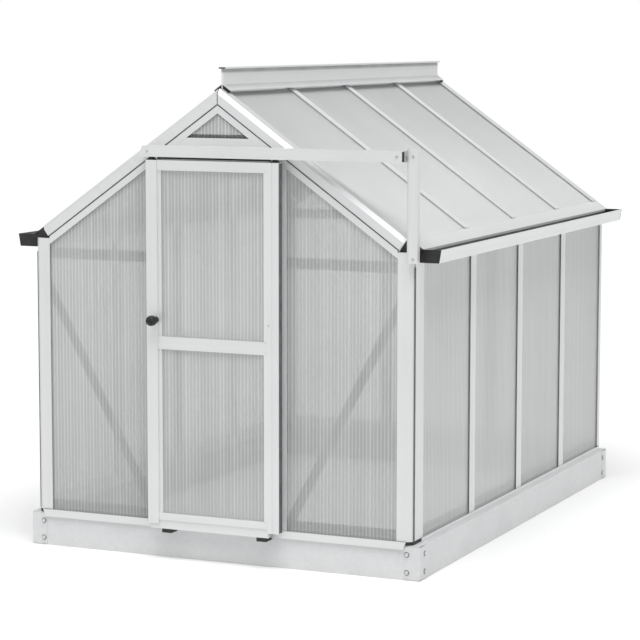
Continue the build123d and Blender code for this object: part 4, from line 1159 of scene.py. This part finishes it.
@dataclass
class Eaves(Assembly):
    """Black end caps of eave beams, gutters and ridge."""

    plug: float = 12.0 * MM
    proud: float = 2.0 * MM
    lift: float = 12.5 * MM
    web: float = 4.0 * MM
    crest_flange: float = 30.0 * MM
    crest_sheet: float = 7.0 * MM

    def build(self) -> None:
        """Dresses the caps and adds the ridge plugs."""
        self.dress("eave_end_caps", self.palette.plastic, 2.0)
        self.dress("gutter_end_caps", self.palette.plastic, 1.2)
        self.ridge_plugs()

    def ridge_plugs(self) -> None:
        """Adds the plugs that close the gap under the skirts of the ridge cap, at both ends, and dark caps on the ends
        of the crest flange as painted shade.
        """
        low, high = (Vector(c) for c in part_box("ridge_cap"))
        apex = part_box("roof_edge_rafters_front")[1][2]
        length = (high.x - self.lift * math.sin(ROOF_PITCH)) / math.cos(ROOF_PITCH)
        bm = bmesh.new()
        Shape.block(bm, Vector((-self.lift, low.y - self.proud, 0.2 * MM)),
                    Vector((length, low.y + self.plug, self.lift - 0.2 * MM)))
        turn = Matrix.Translation((0.0, 0.0, apex)) @ Matrix.Rotation(ROOF_PITCH, 4, "Y")
        bmesh.ops.transform(bm, matrix=turn, verts=bm.verts)
        bmesh.ops.bisect_plane(bm, geom=[*bm.verts, *bm.edges, *bm.faces], plane_co=(self.web + 0.2 * MM, 0, 0),
                               plane_no=(-1, 0, 0), clear_outer=True)
        bmesh.ops.holes_fill(bm, edges=[e for e in bm.edges if len(e.link_faces) == 1], sides=8)
        Shape.round_edges(bm, bm.verts, 0.8 * MM)
        bmesh.ops.mirror(bm, geom=[*bm.verts, *bm.edges, *bm.faces], axis="X", merge_dist=-1.0)
        bmesh.ops.mirror(bm, geom=[*bm.verts, *bm.edges, *bm.faces], axis="Y", merge_dist=-1.0)
        bmesh.ops.recalc_face_normals(bm, faces=bm.faces)
        self.piece("ridge_end_plugs", bm, self.palette.plastic, Body.HOUSE, Slot.PLASTIC)
        # Dark caps on the ends of the crest flange: painted shade of the flange ends.
        bm = bmesh.new()
        half = self.crest_flange / 2
        made = Shape.block(bm, Vector((-half, low.y - self.proud, high.z - self.crest_sheet)),
                           Vector((half, low.y, high.z)))
        Shape.round_edges(bm, made, 0.5 * MM)
        bmesh.ops.mirror(bm, geom=[*bm.verts, *bm.edges, *bm.faces], axis="Y", merge_dist=-1.0)
        bmesh.ops.recalc_face_normals(bm, faces=bm.faces)
        self.piece("crest_flange_shade_caps", bm, self.palette.rubber, Body.HOUSE, Slot.PLASTIC)


@dataclass
class Door(Assembly):
    """Hardware of the hung door: knob, catch screw, hangers, wheels, feet and dark edge strips, whose dark is painted
    shade beside the door.
    """

    # Width of the dark edge strips: painted shade beside the door.
    seal: float = 2.0 * MM
    brush: float = 4.0 * MM
    brush_inset: float = 44.0 * MM
    brush_carrier: float = 4.5 * MM
    brush_clear: float = 1.5 * MM
    knob_profile: tuple[tuple[float, float], ...] = (
        (0.0, 0.0), (14.0, 0.0), (14.0, 2.0), (11.0, 4.0), (9.0, 7.0), (8.6, 13.0), (10.0, 18.0), (14.0, 22.5),
        (18.5, 27.0), (21.2, 32.0), (22.0, 37.0), (22.0, 45.0), (21.2, 51.0), (19.4, 56.0), (17.2, 59.6), (15.2, 61.0),
        (13.2, 60.4), (11.6, 58.2), (9.0, 56.4), (5.0, 55.4), (0.0, 55.0))

    def build(self) -> None:
        """Makes the hardware."""
        plastic = self.palette.plastic
        self.dress("door_hangers", plastic, 0.8)
        self.dress("door_feet", plastic, 1.5)
        low, high = (Vector(c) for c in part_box("door_knob"))
        seat = Vector(((low.x + high.x) / 2, high.y, (low.z + high.z) / 2))
        bm = bmesh.new()
        knob = Shape.turned(bm, [(r * MM, z * MM) for r, z in self.knob_profile], 40)
        bmesh.ops.transform(bm, matrix=Shape.aim(seat, -AXIS_Y), verts=knob)
        self.piece("knob", bm, plastic, Body.DOOR, Slot.PLASTIC, ["door_knob"], 60.0)

        bm = bmesh.new()
        middle, size = Shape.node_middles("door_catch_screw")[0]
        Shape.hex_bolt(bm, middle + AXIS_Y * size.y / 2, -AXIS_Y, 3.4 * MM, 5.0 * MM)
        self.piece("catch_screw", bm, self.palette.zinc, Body.DOOR, Slot.ZINC, ["door_catch_screw"])

        for side, body in (("left", Body.WHEEL_LEFT), ("right", Body.WHEEL_RIGHT)):
            self.wheel(side, body)
        self.edge_shade_strips()

    def edge_shade_strips(self) -> None:
        """Adds dark rubber bumper strips along both edges of the door; their dark is painted shade for the gap beside
        the door.
        """
        bm = bmesh.new()
        for side, sign in (("left", -1.0), ("right", 1.0)):
            low, high = (Vector(c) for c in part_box(f"door_stile_{side}"))
            edge = high.x if sign > 0.0 else low.x
            outer = edge + sign * self.seal
            made = Shape.block(bm, Vector((min(edge, outer), low.y + 3 * MM, low.z + 4 * MM)),
                               Vector((max(edge, outer), high.y, high.z - 4 * MM)))
            Shape.round_edges(bm, made, 0.6 * MM)
        self.piece("door_edge_shade_strips", bm, self.palette.rubber, Body.DOOR, Slot.PLASTIC)
        low, high = (Vector(c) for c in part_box("door_stile_right"))
        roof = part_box("door_track")[0][2] - self.brush_clear
        split = high.z + self.brush_carrier
        reach = high.x - self.brush_inset
        bm = bmesh.new()
        made = Shape.block(bm, Vector((-reach, high.y - self.brush - 2 * MM, high.z)), Vector((reach, high.y - MM, split)))
        Shape.round_edges(bm, made, 0.5 * MM)
        self.piece("door_brush_carrier", bm, self.palette.aluminium[Run.ACROSS], Body.DOOR, Slot.ALUMINIUM)
        bm = bmesh.new()
        Shape.block(bm, Vector((-reach, high.y - self.brush - MM, split)), Vector((reach, high.y - 2 * MM, roof)))
        self.piece("door_top_brush", bm, self.palette.brush, Body.DOOR, Slot.PLASTIC)

    def wheel(self, side: str, body: Body) -> None:
        """Makes a track wheel with a grooved tyre, a dished web and bosses.

        Args:
            side: left or right.
            body: Body of the wheel.
        """
        node = f"door_wheel_{side}"
        middle, size = Shape.node_middles(node)[0]
        r = size.x / 2
        w = size.y / 2
        bore = 3.4 * MM
        bm = bmesh.new()
        ring = [(bore, -w), (0.45 * r, -w), (0.50 * r, -0.75 * w), (0.50 * r, -0.35 * w), (0.76 * r, -0.35 * w),
                (0.78 * r, -0.9 * w), (0.84 * r, -w), (r, -w), (r, -0.6 * w), (0.93 * r, -0.35 * w), (0.93 * r, 0.35 * w),
                (r, 0.6 * w), (r, w), (0.84 * r, w), (0.78 * r, 0.9 * w), (0.76 * r, 0.35 * w), (0.50 * r, 0.35 * w),
                (0.50 * r, 0.75 * w), (0.45 * r, w), (bore, w)]
        made = Shape.turned(bm, ring, 36)
        for count in range(5):
            angle = count * 2 * math.pi / 5
            boss = bmesh.ops.create_cone(bm, cap_ends=True, segments=12, radius1=0.09 * r, radius2=0.07 * r, depth=1.5 * w)
            bmesh.ops.translate(bm, vec=(0.63 * r * math.cos(angle), 0.63 * r * math.sin(angle), 0.0), verts=boss["verts"])
            made += boss["verts"]
        bmesh.ops.transform(bm, matrix=Shape.aim(middle, -AXIS_Y), verts=made)
        self.piece(f"wheel_{side}_grooved", bm, self.palette.nylon, body, Slot.PLASTIC, [node])


@dataclass
class Track(Assembly):
    """Screws of the door track and its support post."""

    hexagon: float = 4.2 * MM
    washer: float = 6.0 * MM
    plug: float = 10.0 * MM
    lip: float = 15.8 * MM

    def build(self) -> None:
        """Makes the screws, the end plug and plate, and the bolt to the support post."""
        bm = bmesh.new()
        for middle, size in Shape.node_middles("track_screws"):
            Shape.hex_bolt(bm, middle + AXIS_Y * size.y / 2, -AXIS_Y, self.hexagon, self.washer)
        self.piece("track_hex_screws", bm, self.palette.zinc, Body.HOUSE, Slot.ZINC, ["track_screws"])
        low, high = (Vector(c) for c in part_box("door_track"))
        bm = bmesh.new()
        Shape.block(bm, Vector((high.x - self.plug, low.y + 3.4 * MM, low.z + 3.4 * MM)),
                    Vector((high.x + 1.2 * MM, low.y + 26 * MM, high.z - 3.4 * MM)))
        Shape.round_edges(bm, bm.verts, 0.8 * MM)
        self.piece("track_end_plug", bm, self.palette.plastic, Body.HOUSE, Slot.PLASTIC)
        bm = bmesh.new()
        Shape.block(bm, Vector((high.x - 2 * MM, low.y + 26.4 * MM, low.z + 3.4 * MM)),
                    Vector((high.x + 0.6 * MM, high.y - 3.4 * MM, high.z - 3.4 * MM)))
        self.piece("track_end_plate", bm, self.palette.aluminium[Run.UP], Body.HOUSE, Slot.ALUMINIUM)
        post = Vector(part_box("track_support_post")[0])
        seat = Vector((high.x + 0.6 * MM, high.y - 17 * MM, (low.z + high.z) / 2))
        reach = post.x + self.lip - seat.x
        bm = bmesh.new()
        rod = Shape.turned(bm, [(0.0, 0.0), (3 * MM, 0.0), (3 * MM, reach), (0.0, reach)], 20)
        bmesh.ops.transform(bm, matrix=Shape.aim(seat, AXIS_X), verts=rod)
        Shape.hex_bolt(bm, seat, AXIS_X, 5.5 * MM, 7.5 * MM)
        self.piece("track_spacer_bolt", bm, self.palette.zinc, Body.HOUSE, Slot.ZINC)


@dataclass
class Vent(Assembly):
    """Roof vent hardware: hinge knuckles and the stay."""

    knuckle: float = 3.2 * MM
    count: int = 9
    hole: float = 3.6 * MM
    hole_pitch: float = 30.0 * MM
    sheet: float = 3.0 * MM
    pin: float = 2.5 * MM
    eye: float = 6.5 * MM

    def build(self) -> None:
        """Makes the knuckles and dresses the stay."""
        hinge = next(j for j in frame["record"]["behaviour"]["joints"] if j["name"] == "vent_hinge")
        pivot = Vector(hinge["pos_m"])
        low, high = (Vector(c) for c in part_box("vent_frame"))
        length = (high.y - low.y) / self.count
        for body, start in ((Body.HOUSE, 0), (Body.VENT, 1)):
            bm = bmesh.new()
            for step in range(start, self.count, 2):
                y0 = low.y + step * length
                tube = Shape.turned(bm, [(0.0, 0.0), (0.8 * self.knuckle, 0.0), (self.knuckle, 0.4 * MM),
                                         (self.knuckle, length - 1.4 * MM), (0.8 * self.knuckle, length - MM),
                                         (0.0, length - MM)], 18)
                bmesh.ops.transform(bm, matrix=Shape.aim(Vector((pivot.x, y0, pivot.z)), AXIS_Y), verts=tube)
            self.piece(f"hinge_knuckles_{body.value}", bm, self.palette.pale[Run.ALONG], body, Slot.ALUMINIUM)
        self.stay()

    def stay(self) -> None:
        """Makes the stay: a flat bar with a row of holes, rolled round its pin at the top."""
        low, high = (Vector(c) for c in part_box("vent_stay"))
        joint = next(j for j in frame["record"]["behaviour"]["joints"] if j["name"] == "stay_hinge")
        pin = Vector(joint["pos_m"])
        width = high.y - low.y
        top = pin.z - self.eye
        cells = int((top - low.z) / self.hole_pitch)
        pitch = (top - low.z) / cells
        bm = bmesh.new()
        for count in range(cells):
            hole = bmesh.ops.create_circle(bm, segments=16, radius=self.hole)["verts"]
            frame_loop = bmesh.ops.create_circle(bm, segments=16, radius=1.0)["verts"]
            for vert in frame_loop:
                reach = max(abs(vert.co.x), abs(vert.co.y))
                vert.co = Vector((vert.co.x / reach * width / 2, vert.co.y / reach * pitch / 2, 0.0))
            edges = {e for v in hole + frame_loop for e in v.link_edges}
            bmesh.ops.bridge_loops(bm, edges=list(edges))
            bmesh.ops.translate(bm, vec=(0.0, (count + 0.5) * pitch, 0.0), verts=hole + frame_loop)
        bmesh.ops.remove_doubles(bm, verts=bm.verts, dist=1e-6)
        bmesh.ops.recalc_face_normals(bm, faces=bm.faces)
        grown = bmesh.ops.extrude_face_region(bm, geom=list(bm.faces))["geom"]
        bmesh.ops.translate(bm, vec=(0, 0, self.sheet), verts=[g for g in grown if isinstance(g, bmesh.types.BMVert)])
        bmesh.ops.translate(bm, vec=(0, 0, -self.sheet / 2), verts=bm.verts)
        stand = Matrix(((0, 0, 1, 0), (1, 0, 0, 0), (0, 1, 0, 0), (0, 0, 0, 1)))
        place = Matrix.Translation((pin.x, (low.y + high.y) / 2, low.z)) @ stand
        bmesh.ops.transform(bm, matrix=place, verts=bm.verts)
        inner = self.pin + 0.4 * MM
        ring = Shape.turned(bm, [(inner, 0.0), (self.eye, 0.0), (self.eye, width), (inner, width)], 28)
        bmesh.ops.transform(bm, matrix=Shape.aim(Vector((pin.x, low.y, pin.z)), AXIS_Y), verts=ring)
        bmesh.ops.recalc_face_normals(bm, faces=bm.faces)
        self.piece("perforated_stay", bm, self.palette.zinc, Body.STAY, Slot.ALUMINIUM, ["vent_stay"])


@dataclass
class Studio:
    """Floor, soft light and the camera of the photograph."""

    eye: tuple[float, float, float] = (4.4310, -10.1734, 2.2281)
    azimuth: float = 23.81
    elevation: float = 6.77
    roll: float = 0.07
    lens: float = 134.37
    shift: tuple[float, float] = (-0.0133, -0.0062)
    sky: float = 0.44
    backdrop: float = 1.0
    sun: float = 2.3
    sun_from: tuple[float, float, float] = (0.16, -0.34, 0.93)
    sun_softness: float = 42.0
    fill: float = 3.0
    fill_size: tuple[float, float] = (1.3, 2.2)
    fill_height: float = 1.34

    def build(self) -> None:
        """Sets up the studio."""
        scene = bpy.context.scene
        scene.view_settings.view_transform = "Standard"
        scene.view_settings.look = "None"
        self.camera(scene)
        self.floor()
        self.light(scene)

    def camera(self, scene: bpy.types.Scene) -> None:
        """Places the camera where the photograph was taken from."""
        data = bpy.data.cameras.new("photo_camera")
        data.lens = self.lens
        data.sensor_width = 36.0
        data.sensor_fit = "HORIZONTAL"
        data.shift_x, data.shift_y = self.shift
        data.clip_end = 200.0
        thing = bpy.data.objects.new("photo_camera", data)
        turn = Matrix.Rotation(math.radians(self.azimuth), 4, "Z")
        turn = turn @ Matrix.Rotation(math.radians(90.0 - self.elevation), 4, "X")
        turn = turn @ Matrix.Rotation(math.radians(self.roll), 4, "Z")
        thing.matrix_world = Matrix.Translation(self.eye) @ turn
        scene.collection.objects.link(thing)
        scene.camera = thing

    def floor(self) -> None:
        """Lays a plain pale floor."""
        material = bpy.data.materials.new("studio_floor")
        material.use_nodes = True
        shader = next(n for n in material.node_tree.nodes if n.type == "BSDF_PRINCIPLED")
        shader.inputs["Base Color"].default_value = (0.95, 0.95, 0.95, 1.0)
        shader.inputs["Roughness"].default_value = 0.9
        bm = bmesh.new()
        bmesh.ops.create_grid(bm, x_segments=1, y_segments=1, size=90.0)
        mesh = bpy.data.meshes.new("studio_floor")
        bm.to_mesh(mesh)
        bm.free()
        mesh.materials.append(material)
        thing = bpy.data.objects.new("studio_floor", mesh)
        thing.location.z = -0.0005
        bpy.context.scene.collection.objects.link(thing)

    def light(self, scene: bpy.types.Scene) -> None:
        """Lights the house with a white sky, one broad soft sun and a faint fill inside, before white."""
        world = bpy.data.worlds.new("studio")
        world.use_nodes = True
        tree = Tree(world.node_tree)
        sky = world.node_tree.nodes["Background"]
        sky.inputs["Strength"].default_value = self.sky
        sky.inputs["Color"].default_value = (1.0, 1.0, 1.0, 1.0)
        backdrop = tree.add("ShaderNodeBackground", {"Color": (1.0, 1.0, 1.0, 1.0), "Strength": self.backdrop})
        seen = tree.add("ShaderNodeLightPath")
        choice = tree.add("ShaderNodeMixShader")
        tree.join(seen.outputs["Is Camera Ray"], choice.inputs[0])
        tree.join(sky.outputs[0], choice.inputs[1])
        tree.join(backdrop.outputs[0], choice.inputs[2])
        tree.join(choice.outputs[0], world.node_tree.nodes["World Output"].inputs["Surface"])
        scene.world = world
        data = bpy.data.lights.new("soft_sun", "SUN")
        data.energy = self.sun
        data.angle = math.radians(self.sun_softness)
        thing = bpy.data.objects.new("soft_sun", data)
        thing.matrix_world = Vector(self.sun_from).to_track_quat("Z", "Y").to_matrix().to_4x4()
        scene.collection.objects.link(thing)
        data = bpy.data.lights.new("inside_fill", "AREA")
        data.shape = "RECTANGLE"
        data.size, data.size_y = self.fill_size
        data.energy = self.fill
        thing = bpy.data.objects.new("inside_fill", data)
        thing.location.z = self.fill_height
        thing.visible_camera = False
        scene.collection.objects.link(thing)


def main() -> None:
    """Builds the studio and every sub-assembly in order."""
    logging.basicConfig(level=logging.INFO, format="%(name)s: %(message)s")
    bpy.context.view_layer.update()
    palette = Palette()
    Studio().build()
    for assembly in (Sheets, Frame, Base, Eaves, Door, Track, Vent):
        LOG.info("building %s", assembly.__name__)
        assembly(palette).build()


if __name__ == "__main__":
    main()
